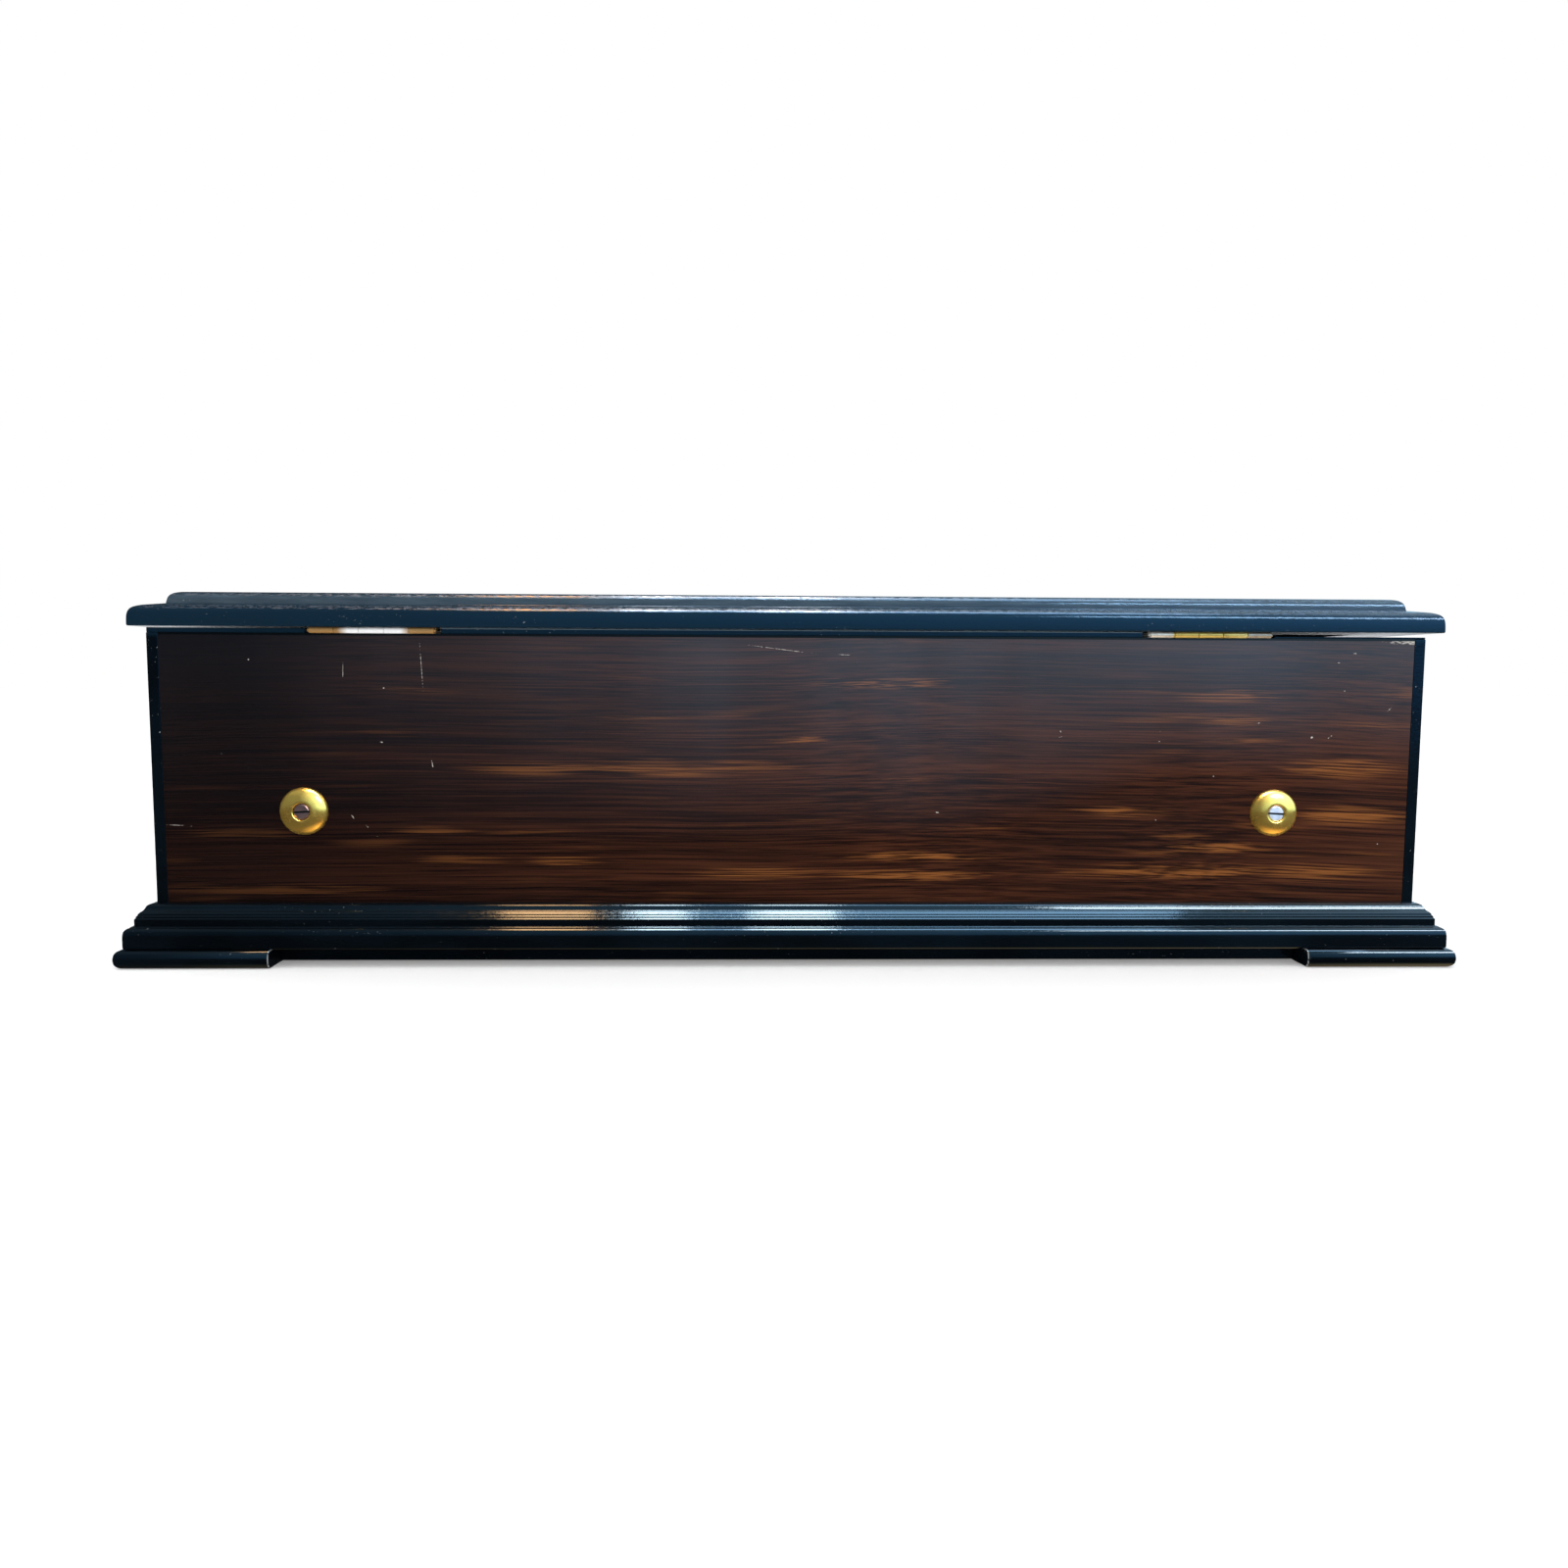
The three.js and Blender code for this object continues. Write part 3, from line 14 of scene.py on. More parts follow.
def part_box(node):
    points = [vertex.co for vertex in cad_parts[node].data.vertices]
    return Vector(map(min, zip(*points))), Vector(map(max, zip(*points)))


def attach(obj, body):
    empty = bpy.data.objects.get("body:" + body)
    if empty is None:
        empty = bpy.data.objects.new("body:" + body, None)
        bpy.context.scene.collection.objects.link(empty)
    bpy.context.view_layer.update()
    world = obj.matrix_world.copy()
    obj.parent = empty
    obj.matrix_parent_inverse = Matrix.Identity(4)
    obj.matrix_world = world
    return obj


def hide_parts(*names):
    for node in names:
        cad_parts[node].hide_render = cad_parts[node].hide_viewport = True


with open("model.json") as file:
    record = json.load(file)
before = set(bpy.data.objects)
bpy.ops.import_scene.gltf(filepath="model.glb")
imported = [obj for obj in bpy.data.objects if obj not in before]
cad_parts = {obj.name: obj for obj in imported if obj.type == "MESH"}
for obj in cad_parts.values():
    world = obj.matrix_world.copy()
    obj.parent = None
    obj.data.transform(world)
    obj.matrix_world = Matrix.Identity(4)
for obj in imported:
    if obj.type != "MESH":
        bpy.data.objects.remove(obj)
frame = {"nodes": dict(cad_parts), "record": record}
RECORD = frame["record"]
BODY_OF = {node: body for body, nodes in RECORD["behaviour"]["bodies"].items() for node in nodes}
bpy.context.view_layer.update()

bl_info = {
    "name": "Cylinder music box",
    "version": (1, 0, 0),
    "blender": (4, 5, 0),
    "location": "View3D > Sidebar > Music box",
    "description": "Builds a cylinder music box in a veneered case with ebonised mouldings",
    "category": "Add Mesh",
}

MM = 0.001
HALF_LENGTH = 334
HALF_DEPTH = 125
BODY_TOP = 173
ENDS = {"left": -1, "right": 1}
FACES = {"front": -1, "back": 1}
# Quarter turns that take +Y, where an outline faces when drawn, to each side of the case
SIDE_TURNS = {"back": 0, "left": 1, "front": 2, "right": 3}
# How far a length of moulding is drawn past the body's corner before its mitre is sawn
MITRE_WASTE = 40

# Outlines as (outward from the body's face, up, softness of the corner)
BASE_BOTTOM = 9.5
BASE_OUTLINE = [
    (-0.4, 0, 0), (11.6, 0, 0.8), (12.5, 0.7, 1), (12.5, 3.4, 1), (12.5, 6.4, 1),
    (12.3, 8.4, 1), (11.9, 9.8, 0.8), (10.9, 10.75, 0.6), (9.75, 11.2, 0.1), (9.5, 11.45, 0.1),
    (8.2, 11.5, 0.1), (8.2, 15.2, 0), (7.6, 15.8, 0), (7.55, 16.5, 0), (6.9, 17.15, 0),
    (6.85, 17.75, 0), (5.9, 18.7, 0), (5.3, 19.0, 0.8), (4.7, 19.6, 1), (4.2, 20.5, 1),
    (3.7, 21.6, 0.8), (2.6, 22.3, 0.8), (1.4, 22.5, 0.5), (-0.4, 22.5, 0),
]
LID_BOTTOM = 176
LID_OUTLINE = [
    (-26, 0, 0), (0.9, 0.05, 0), (6.2, 0.05, 0.6), (6.5, 0.5, 1), (6.5, 3.4, 1), (6.3, 6.0, 1),
    (5.7, 8.1, 1), (4.6, 9.5, 1), (2.0, 10.7, 1), (-2.2, 11.4, 0.8), (-7.3, 12.2, 0.15),
    (-7.7, 14.4, 1), (-8.3, 16.1, 1), (-9.7, 17.5, 1), (-12, 18.3, 1), (-16, 18.7, 1),
    (-20, 18.85, 0.6), (-24, 19.0, 0.3), (-26, 19.0, 0),
]
FOOT_OUTLINE = [
    (-16, 0, 0), (13.2, 0, 0.8), (15.2, 1.3, 1), (16, 3.6, 1), (16, 6.0, 1), (15.4, 8.2, 1),
    (14.2, 9.4, 1), (12.8, 9.5, 0.3), (-16, 9.5, 0),
]
FOOT_END_X = 271
FOOT_END_Y = 79
# How far inside the body's face the edges of a foot's sawn end are eased
FOOT_EASED_TO = 14
# How much of the polish has gone from eased mitres and sawn ends
MITRE_WORN = 0.7
FOOT_END_WORN = 0.6

# Black edging on the body's top edges as (low corner, high corner, top). It leaves room for the hinges
# and the lock, and has worn lower at the right-hand end, seen from the back.
EDGING = {
    "back_left": ((-333.8, 113.4), (-253, 124.8), 173.9),
    "back_middle": ((-183, 113.4), (183, 124.8), 175.9),
    "back_right": ((253, 113.4), (333.8, 124.8), 175.5),
    "front_left": ((-333.8, -124.8), (-31.5, -113.4), 174.7),
    "front_right": ((31.5, -124.8), (333.8, -113.4), 174.7),
    "end_left": ((-333.8, -113.3), (-322.5, 113.3), 173.9),
    "end_right": ((322.5, -113.3), (333.8, 113.3), 174.7),
}
# Black rails under the bottom board, set back between the feet, as a painted shadow in the gap
SHADOW_STRIPS = {
    "back": ((-270.5, 119), (270.5, 124)),
    "front": ((-270.5, -124), (270.5, -119)),
    "left": ((-333, -78.5), (-328, 78.5)),
    "right": ((328, -78.5), (333, 78.5)),
}
SHADOW_STRIP_BOTTOM = 0.9

# Turned outlines as (radius, height). The washer's runs from its rim over the dome into its recess.
WASHER_OUTLINE = [
    (12.5, 0), (12.5, 0.6), (12.2, 1.5), (11.4, 2.5), (10.0, 3.4), (8.2, 4.15), (6.4, 4.6),
    (5.2, 4.75), (4.7, 4.7), (4.45, 4.4), (4.4, 2.0), (2.7, 1.4), (2.7, 0),
]
SCREW_TOP = 4.35
SCREW_OUTLINE = [
    (0, 4.3), (2.0, SCREW_TOP), (3.6, 4.3), (4.1, 3.95), (4.1, 1.75), (2.5, 1.7),
    (2.5, -24.3), (0, -24.3),
]
SCREW_SLOT = (1.1, 1.0)
SCREW_LEAN = 3
CASE_SCREW_X = 256
CASE_SCREW_Z = 80.5

HINGE_ENDS = (185, 251)
HINGE_LENGTH = 64
HINGE_INNER_Y = 114.1
HINGE_AXIS = (127.2, 174.5)
HINGE_KNUCKLES = 5
KNUCKLE_RADIUS = 1.6
KNUCKLE_GAP = 0.12
PIN_PROUD = 1
PIN_DOME = [(0, 0), (0.5, 0.12), (0.85, 0.45), (0.95, 1.0)]
LEAF_THICKNESS = 1.3
LEAF_BOTTOMS = {"lower": 172.95, "upper": 174.75}
# The colours of each hinge, as (share of its length, colour, matt share), with a painted highlight
HINGE_TONES = {
    "left": [
        (0, "#E4E2D8", 0.5), (0.19, "#DAD6C8", 0.5), (0.2, "#D9BE63", 0.5),
        (0.6, "#D9C06A", 0.4), (0.79, "#E6D488", 0.5), (0.8, "#B4AB9C", 0.4),
    ],
    "right": [
        # A painted highlight: this hinge's middle knuckles are coloured a matt white
        (0, "#C0935A", 0.6), (0.2, "#C49A62", 0.6), (0.27, "#FFFFFF", 0.95),
        (0.68, "#FFFFFF", 0.95), (0.76, "#BE9158", 0.6),
    ],
}

ESCUTCHEON_HALF = (6.85, 10.85)
ESCUTCHEON_THICKNESS = 0.95
ESCUTCHEON_EASE = 0.25
ESCUTCHEON_PLACE = (0, -125.5, 156.7)
KEYHOLE_RADIUS = 2.6
KEYHOLE_RISE = 1.3
KEYHOLE_HALF_SLOT = 1.2
KEYHOLE_FOOT = -5.7

CYLINDER_BORE = 4.6
PIN_HEIGHT = 0.85
PIN_SUNK = 0.05
COMB_TEETH = 80
COMB_MARGIN = 5
TUNES = 6
BEATS = 330
COMB_SCREWS = 9
COMB_SCREW_TOP = 2.1
COMB_SCREW_OUTLINE = [(0, COMB_SCREW_TOP), (2.9, 2.05), (3.4, 1.7), (3.4, 0), (0, 0)]
COMB_SCREW_INSET = 12

# Node kinds with the mode that they are used in
SMOOTH = "MapRange.SMOOTHSTEP"
EVEN = "MapRange.LINEAR"
MIXED = "Mix.RGBA"
TIMES = "Math.MULTIPLY"
PLUS = "Math.ADD"
MINUS = "Math.SUBTRACT"
SIZE = "Math.ABSOLUTE"
LARGER = "Math.MAXIMUM"
SMALLER = "Math.MINIMUM"
MODE_OF = {
    "MapRange": "interpolation_type",
    "Mapping": "vector_type",
    "Math": "operation",
    "Mix": "data_type",
    "VectorMath": "operation",
}


def linear(hex_colour):
    """An sRGB hex colour as linear RGBA, for a socket or a property."""
    channels = [int(hex_colour[i : i + 2], 16) / 255 for i in (1, 3, 5)]
    curve = [c / 12.92 if c <= 0.04045 else ((c + 0.055) / 1.055) ** 2.4 for c in channels]
    return (*curve, 1.0)


def colour_setting(name, description, shade):
    """A colour that a user can change, set to an sRGB hex colour."""
    return bpy.props.FloatVectorProperty(
        name=name, description=description, subtype="COLOR", size=4, default=linear(shade)
    )


class CaseFinish(bpy.types.PropertyGroup):
    """Colours and sizes of the case that a user would change."""

    veneer_dark: colour_setting("Veneer ground", "The rosewood's dark ground colour", "#1D0C07")
    veneer_light: colour_setting("Veneer figure", "The rosewood's lighter brown bands", "#512C1A")
    veneer_flame: colour_setting("Veneer streaks", "The rosewood's short orange streaks", "#945A2A")
    ebony: colour_setting("Ebonised black", "The stained black of the mouldings", "#05080B")
    brass: colour_setting("Brass", "The brass of washers, wheels and escutcheon", "#F6CB62")
    mitre_gap: bpy.props.FloatProperty(
        name="Mitre gap",
        description="The hairline left open on each side of a mitre",
        default=0.07 * MM,
        min=0,
        unit="LENGTH",
    )
    arris: bpy.props.FloatProperty(
        name="Arris",
        description="How far a sharp wooden edge is eased",
        default=0.5 * MM,
        min=0,
        unit="LENGTH",
    )


class StudioSetup(bpy.types.PropertyGroup):
    """The floor, the lights and the camera."""

    floor_colour: colour_setting("Floor", "The pale floor's colour", "#FBFBFA")
    camera_place: bpy.props.FloatVectorProperty(
        name="Camera place",
        description="Where the camera stands",
        subtype="TRANSLATION",
        size=3,
        default=(0.0217, 0.7536, 0.1519),
    )
    camera_turn: bpy.props.FloatVectorProperty(
        name="Camera turn",
        description="Yaw, downward pitch and roll of the camera",
        subtype="EULER",
        size=3,
        default=(math.radians(-1.502), math.radians(5.139), math.radians(0.275)),
    )
    camera_lens: bpy.props.FloatProperty(
        name="Lens",
        description="Focal length in millimetres on a 36 mm sensor",
        default=27.5,
        min=1,
    )
    window_radiance: bpy.props.FloatProperty(
        name="Window glare",
        description="How bright the window is where the polish mirrors it",
        default=85,
        min=0,
    )
    room_light: bpy.props.FloatProperty(
        name="Room light",
        description="Strength of the even light from all around",
        default=1.0,
        min=0,
    )


def add_node(tree, kind, *values, sockets=None, stops=(), **settings):
    """Adds a shader node of a kind such as "Math.ADD". Values go to its live sockets in order, and
    sockets maps others by name. Each is a constant, an output or a node whose first live output is
    meant. Settings name the node's own properties, and stops are a ramp's (place, colour) pairs."""
    kind, _, mode = kind.partition(".")
    made = tree.nodes.new("ShaderNode" + kind)
    if mode:
        settings[MODE_OF[kind]] = mode
    for name, value in settings.items():
        setattr(made, name, value)
    live = [socket for socket in made.inputs if socket.enabled]
    named = [(made.inputs[name], value) for name, value in (sockets or {}).items()]
    for socket, value in [*zip(live, values), *named]:
        if isinstance(value, bpy.types.Node):
            value = next(output for output in value.outputs if output.enabled)
        if isinstance(value, bpy.types.NodeSocket):
            tree.links.new(value, socket)
        else:
            socket.default_value = value
    if stops:
        elements = made.color_ramp.elements
        while len(elements) < len(stops):
            elements.new(1)
        for element, (place, colour) in zip(elements, stops):
            element.position, element.color = place, colour
    return made


def new_material(name):
    """An empty material, what adds nodes to it, and the object coordinates that its patterns read."""
    material = bpy.data.materials.new(name)
    material.use_nodes = True
    material.node_tree.nodes.clear()
    add = functools.partial(add_node, material.node_tree)
    return material, add, add("TexCoord").outputs["Object"]


def finish_material(add, surface, relief=None, depth=0.01, strength=1.0):
    """Adds the surface shader with those sockets, roughened by a relief that is depth mm deep."""
    if relief:
        heights = {"Height": relief, "Distance": depth * MM, "Strength": strength}
        surface = {**surface, "Normal": add("Bump", sockets=heights)}
    add("OutputMaterial", add("BsdfPrincipled", sockets=surface))


def stretched_noise(add, place, size, detail=2.0, roughness=0.5):
    """Noise whose blobs have that size along X, Y and Z, in millimetres."""
    scaled = add("VectorMath.MULTIPLY", place, [1 / (length * MM) for length in size])
    return add("TexNoise", scaled, 1.0, detail, roughness)


def belt(add, value, start, full, fading, gone, most=1):
    """A mask that rises to its most from start to full and falls from fading to gone, in millimetres."""
    rise = add(SMOOTH, value, start * MM, full * MM, 0, most)
    return add(TIMES, rise, add(SMOOTH, value, fading * MM, gone * MM, 1, 0))


# Knocks and scratches in the back's polish: centre X and Z, half length and half width, turn in degrees
BACK_MARKS = [
    (234.0, 153.4, 4.6, 0.14, 88), (193.6, 156.1, 13.2, 0.13, 93), (213.3, 144.9, 0.4, 0.40, 0),
    (282.2, 159.2, 0.4, 0.37, 0), (215.0, 116.7, 0.8, 0.34, 169), (189.0, 105.2, 2.1, 0.25, 99),
    (230.9, 77.5, 1.5, 0.25, 124), (223.5, 72.4, 1.1, 0.20, 134), (218.4, 67.2, 0.4, 0.37, 110),
    (322.4, 73.0, 6.1, 0.13, 178), (314.7, 72.5, 0.4, 0.34, 0), (297.6, 110.4, 0.4, 0.34, 134),
    (7.1, 165.9, 18.6, 0.14, 173), (-26.5, 163.2, 3.9, 0.14, 178), (-140.8, 123.5, 0.5, 0.28, 108),
    (-140.9, 120.7, 0.9, 0.28, 16), (-193.8, 123.9, 0.4, 0.37, 136),
    (-193.5, 118.4, 0.4, 0.34, 144), (-291.6, 145.5, 0.4, 0.34, 145),
    (-316.3, 135.9, 1.5, 0.23, 43), (-245.9, 128.3, 1.3, 0.28, 11), (-275.3, 120.9, 0.8, 0.57, 39),
    (-284.7, 121.0, 1.6, 0.28, 36), (-223.1, 100.0, 0.4, 0.34, 144), (-76.2, 80.4, 1.6, 0.31, 171),
    (-193.0, 76.6, 0.3, 0.31, 150), (-313.2, 63.9, 0.4, 0.34, 144), (-296.8, 165.3, 1.3, 0.23, 0),
    (-322.3, 170.7, 1.8, 0.34, 176), (-288.1, 160.3, 1.3, 0.17, 169),
]

# Where the back's veneer glows orange: centre X and Z, half length and half height, no turn
BACK_FLAMES = [
    (134, 102.8, 36, 3.1, 0), (73, 102.9, 36, 4.6, 0), (38, 104.6, 31, 3.1, 0),
    (190, 70.6, 19, 2.1, 0), (120, 54.2, 17, 2.6, 0), (175, 54.5, 21, 2.6, 0),
    (17, 47.3, 33, 3.1, 0), (288, 68.9, 28, 3.1, 0), (270, 38.8, 51, 2.6, 0),
    (-230, 142.2, 25, 3.1, 0), (-233, 129.3, 21, 2.6, 0), (-293, 104.5, 27, 4.6, 0),
    (-172, 81.1, 22, 2.6, 0), (-299, 79.3, 27, 4.6, 0), (-228, 61.7, 25, 2.6, 0),
    (-63, 56.8, 38, 2.3, 0), (-205, 49.0, 57, 3.6, 0), (-282, 48.5, 31, 4.1, 0),
    (-58, 46.8, 44, 2.6, 0), (-51, 148.6, 32, 2.6, 0), (-2, 118.6, 15, 1.8, 0),
]
# How far in from the back's surface an ellipse still marks it
MARK_DEPTH = 2


def nearest_ellipse(add, place, ellipses):
    """How near a point of the back is to an ellipse of a list, as a share of that ellipse's size."""
    nearest = 4.0
    for centre_x, centre_z, half_length, half_width, turn in ellipses:
        centre = (centre_x * MM, HALF_DEPTH * MM, centre_z * MM)
        lean = (0, math.radians(turn), 0)
        reach = (half_length * MM, MARK_DEPTH * MM, half_width * MM)
        moved = add("Mapping.TEXTURE", place, centre, lean, reach)
        nearest = add(SMALLER, nearest, add("VectorMath.LENGTH", moved))
    return nearest


def polish_marks(add, place, marks):
    """A mask of pale marks, each an ellipse broken up at its rim."""
    grit = stretched_noise(add, place, (0.9, 0.9, 0.9), 1.0)
    broken = add(PLUS, nearest_ellipse(add, place, marks), add(SMOOTH, grit, 0.35, 0.7, 0, 0.9))
    # Chipped polish along the top edge, under the right-hand hinge and beyond it
    x, _, z = add("SeparateXYZ", place).outputs
    flecks = stretched_noise(add, place, (2.6, 1, 0.4), 2.0, 0.6)
    towards_end = add(SMOOTH, x, -335 * MM, -300 * MM, 0.8, 0.4)
    along = add(TIMES, towards_end, add(SMOOTH, x, -180 * MM, -150 * MM, 1, 0))
    up = add(EVEN, z, 167.6 * MM, 171 * MM)
    chipped = add(TIMES, add(TIMES, along, up), flecks)
    return add(LARGER, add(SMOOTH, broken, 0.75, 1.15, 1, 0), add(SMOOTH, chipped, 0.3, 0.33))


def milky_painted_sheen(add, place, most):
    """How much cool haze is painted on, a painted reflection of the room with milky shellac bloom: more
    towards the top, and less towards +X, where the back's end is in painted shade.
    """
    x, _, z = add("SeparateXYZ", place).outputs
    clouds = stretched_noise(add, place, (60, 60, 260), 2.0)
    foot = add(SMOOTH, x, -220 * MM, -60 * MM, 100 * MM, 64 * MM)
    rise = add("Math.DIVIDE", add(MINUS, z, foot), add(MINUS, 172 * MM, foot))
    height = add(SMALLER, add(LARGER, rise, 0), 1)
    cloudy = add(TIMES, height, add(SMOOTH, clouds, 0.25, 0.75, 0.72, 1.15))
    return add(TIMES, add(TIMES, cloudy, add(SMOOTH, x, -60 * MM, 300 * MM, 1.0, 0.12)), most)


def rosewood_veneer(name, grain_along="X", worn_back=False, bloom=0.5, inlay=None):
    """Rosewood, sliced as veneer, laid and French polished. The slicing leaves fine parallel lines with
    orange streaks; the shellac gives a soft gloss, with a cool painted reflection and milky bloom
    towards the top edge."""
    finish = bpy.context.scene.case_finish
    material, add, place = new_material(name)
    sheet = place
    if grain_along == "Y":
        sheet = add("Mapping.POINT", place, (0, 0, 0), (0, 0, math.radians(90)))
    # Bands wander a few millimetres over the length of the sheet
    wander = add("TexNoise", sheet, 3.4, 1.0).outputs["Color"]
    wander = add("VectorMath.SUBTRACT", wander, (0.5, 0.5, 0.5))
    wander = add("VectorMath.MULTIPLY", wander, (0, 16 * MM, 16 * MM))
    grain = add("VectorMath.ADD", sheet, wander)
    bands = stretched_noise(add, grain, (500, 22, 22), 2.0)
    stripes = stretched_noise(add, grain, (220, 2.2, 2.2), 2.0, 0.6)
    lines = stretched_noise(add, grain, (80, 0.95, 0.95), 2.0, 0.75)
    figure = add("Math.MULTIPLY_ADD", bands, 0.26, add(TIMES, stripes, 0.26))
    figure = add("Math.MULTIPLY_ADD", lines, 0.48, figure)
    share = add(SMOOTH, figure, 0.38, 0.66)
    ground = add(MIXED, share, tuple(finish.veneer_dark), tuple(finish.veneer_light))
    patches = stretched_noise(add, grain, (90, 7, 7), 1.0)
    glow = add(SMOOTH, patches, 0.62, 0.85, 0.0, 0.6)
    if worn_back:
        near = nearest_ellipse(add, place, BACK_FLAMES)
        ragged = add(PLUS, near, add(SMOOTH, lines, 0.35, 0.65, 0.3, -0.3))
        glow = add(LARGER, glow, add(SMOOTH, ragged, 0.1, 1.3, 0.75, 0.0))
    flame_share = add(TIMES, glow, add(SMOOTH, lines, 0.4, 0.6, 0.12, 1.0))
    colour = add(MIXED, flame_share, ground, tuple(finish.veneer_flame))
    if worn_back:
        # Painted shade: the sheet's left-hand end, seen from the back, is darkened, more so towards the top
        x, _, z = add("SeparateXYZ", place).outputs
        height = add(EVEN, z, 50 * MM, 160 * MM, 0.78, 0.95)
        shade = add(TIMES, add(EVEN, x, 0, 280 * MM), height)
        colour = add(MIXED, shade, colour, linear("#0A080A"))
    if bloom:
        # Painted reflection of the cool room, with milky bloom, laid over the veneer's colour
        colour = add(MIXED, milky_painted_sheen(add, place, bloom), colour, linear("#4A5360"))
    if inlay:
        colour = add(MIXED, inlaid_lines(add, place, *inlay), colour, linear("#B98F4E"))
    if worn_back:
        colour = add(MIXED, polish_marks(add, place, BACK_MARKS), colour, linear("#C9C2BA"))
        # The veneer's top edge, under the edging, is coloured the ebony black
        black_top_edge = add(SMOOTH, z, (BODY_TOP - 1.4) * MM, (BODY_TOP - 0.9) * MM)
        colour = add(MIXED, black_top_edge, colour, tuple(finish.ebony))
    relief = add(PLUS, add(TIMES, lines, 0.6), add(TIMES, stripes, 0.5))
    cloud = stretched_noise(add, place, (90, 30, 30), 1.0)
    surface = {
        "Base Color": colour,
        "Roughness": add(SMOOTH, cloud, 0.3, 0.7, 0.16, 0.19),
        "Specular IOR Level": 0.2,
        "IOR": 1.5,
        "Coat Weight": 0.12,
        "Coat Roughness": 0.12,
        "Coat IOR": 1.35,
    }
    finish_material(add, surface, relief, 0.02, 0.05)
    return material


def inlaid_lines(add, place, half_length, half_height, side):
    """A mask of a pair of boxwood lines let into the front or the lid, as one rectangle in another."""
    x, y, z = add("SeparateXYZ", place).outputs
    if side == "front":
        across = add(SIZE, add(MINUS, z, 103 * MM))
        outside = add(SMOOTH, y, -(HALF_DEPTH - 2) * MM, -(HALF_DEPTH - 4) * MM, 0.85, 0)
    else:
        across = add(SIZE, y)
        outside = add(SMOOTH, z, 190 * MM, 192 * MM, 0, 0.85)
    past_end = add(MINUS, add(SIZE, x), half_length * MM)
    edge = add(LARGER, past_end, add(MINUS, across, half_height * MM))
    outer = add(SMOOTH, add(SIZE, edge), 0.45 * MM, 0.6 * MM, 1, 0)
    inner = add(SMOOTH, add(SIZE, add(PLUS, edge, 4 * MM)), 0.2 * MM, 0.35 * MM, 1, 0)
    return add(TIMES, add(LARGER, outer, inner), outside)


def ebonised_wood(name):
    """Pearwood run as moulding, stained black and French polished. Close-grained, so it has no figure:
    a deep, faintly rippled gloss with a teal cast, dust on its step and small pale knocks on its edges,
    with a lighter teal reflection painted on the lid and a highlight painted along the middle rail."""
    finish = bpy.context.scene.case_finish
    material, add, place = new_material(name)
    z = add("SeparateXYZ", place).outputs["Z"]
    cloud = stretched_noise(add, place, (60, 60, 30), 2.0)
    colour = add(MIXED, add(SMOOTH, cloud, 0.3, 0.7), tuple(finish.ebony), linear("#080F15"))
    # Painted reflection: the lid and the edging are coloured a lighter teal, for the cool sky they mirror
    colour = add(MIXED, add(SMOOTH, z, 170 * MM, BODY_TOP * MM), colour, linear("#112432"))
    # Painted highlight: a pale hairline along the top of the middle rail, under the lid
    rub_and_painted_highlight = belt(add, z, 175.3, 175.6, 175.94, 175.98, 0.6)
    colour = add(MIXED, rub_and_painted_highlight, colour, linear("#8FA6B4"))
    # Dust and dulled polish on the lid's step
    smear = stretched_noise(add, place, (24, 24, 2.5), 3.0, 0.6)
    fade = add(SMOOTH, z, 191.5 * MM, 194.2 * MM, 1, 0.12)
    patchy = add(TIMES, add(SMOOTH, smear, 0.25, 0.75, 0.5, 0.9), fade)
    dusty = add(TIMES, add(SMOOTH, z, 187.8 * MM, 188.6 * MM), patchy)
    colour = add(MIXED, dusty, colour, linear("#505F69"))
    # Specks in the polish, and wood that shows where an edge is chipped
    specks = stretched_noise(add, place, (1.1, 1.1, 1.1), 2.0, 0.6)
    crowded = add(SMOOTH, stretched_noise(add, place, (70, 70, 14), 2.0), 0.45, 0.6)
    speck_share = add(TIMES, add(SMOOTH, specks, 0.71, 0.75), crowded)
    worn = add("Attribute", attribute_name="worn").outputs["Fac"]
    broken = add(SMOOTH, stretched_noise(add, place, (3, 3, 3), 3.0, 0.7), 0.36, 0.5)
    pale = add(LARGER, add(TIMES, speck_share, 0.55), add(TIMES, worn, broken))
    colour = add(MIXED, pale, colour, linear("#B4B8B8"))
    ripple = stretched_noise(add, place, (34, 34, 34), 2.0)
    grit = stretched_noise(add, place, (1.7, 1.7, 1.0), 3.0, 0.6)
    gritty = add(TIMES, grit, add(SMOOTH, z, 40 * MM, 160 * MM, 0.3, 1.4))
    # The two edges of the lid that catch the light are scuffed, so their glints break up
    scuffs = add(SMOOTH, stretched_noise(add, place, (3, 3, 1.1), 3.0, 0.7), 0.4, 0.58, 0, 0.45)
    edges = add(
        PLUS, belt(add, z, 184.6, 185.2, 187.0, 187.4), belt(add, z, 191.8, 192.4, 194.0, 194.5)
    )
    tint = add(SMOOTH, z, 50 * MM, 160 * MM)
    surface = {
        "Base Color": colour,
        "Roughness": add(LARGER, add(SMOOTH, grit, 0.3, 0.7, 0.05, 0.12), add(TIMES, scuffs, edges)),
        # The lid's polish is duller than the base's, from hands and dust
        "Specular IOR Level": add(EVEN, z, 30 * MM, 170 * MM, 0.34, 0.22),
        "Specular Tint": add(MIXED, tint, linear("#A4D4F4"), linear("#6CB8F6")),
        "Coat Weight": 0.02,
        "Coat Roughness": 0.05,
        "Coat IOR": 1.45,
    }
    finish_material(add, surface, add(PLUS, add(TIMES, ripple, 3.0), gritty), 0.08, 0.6)
    return material


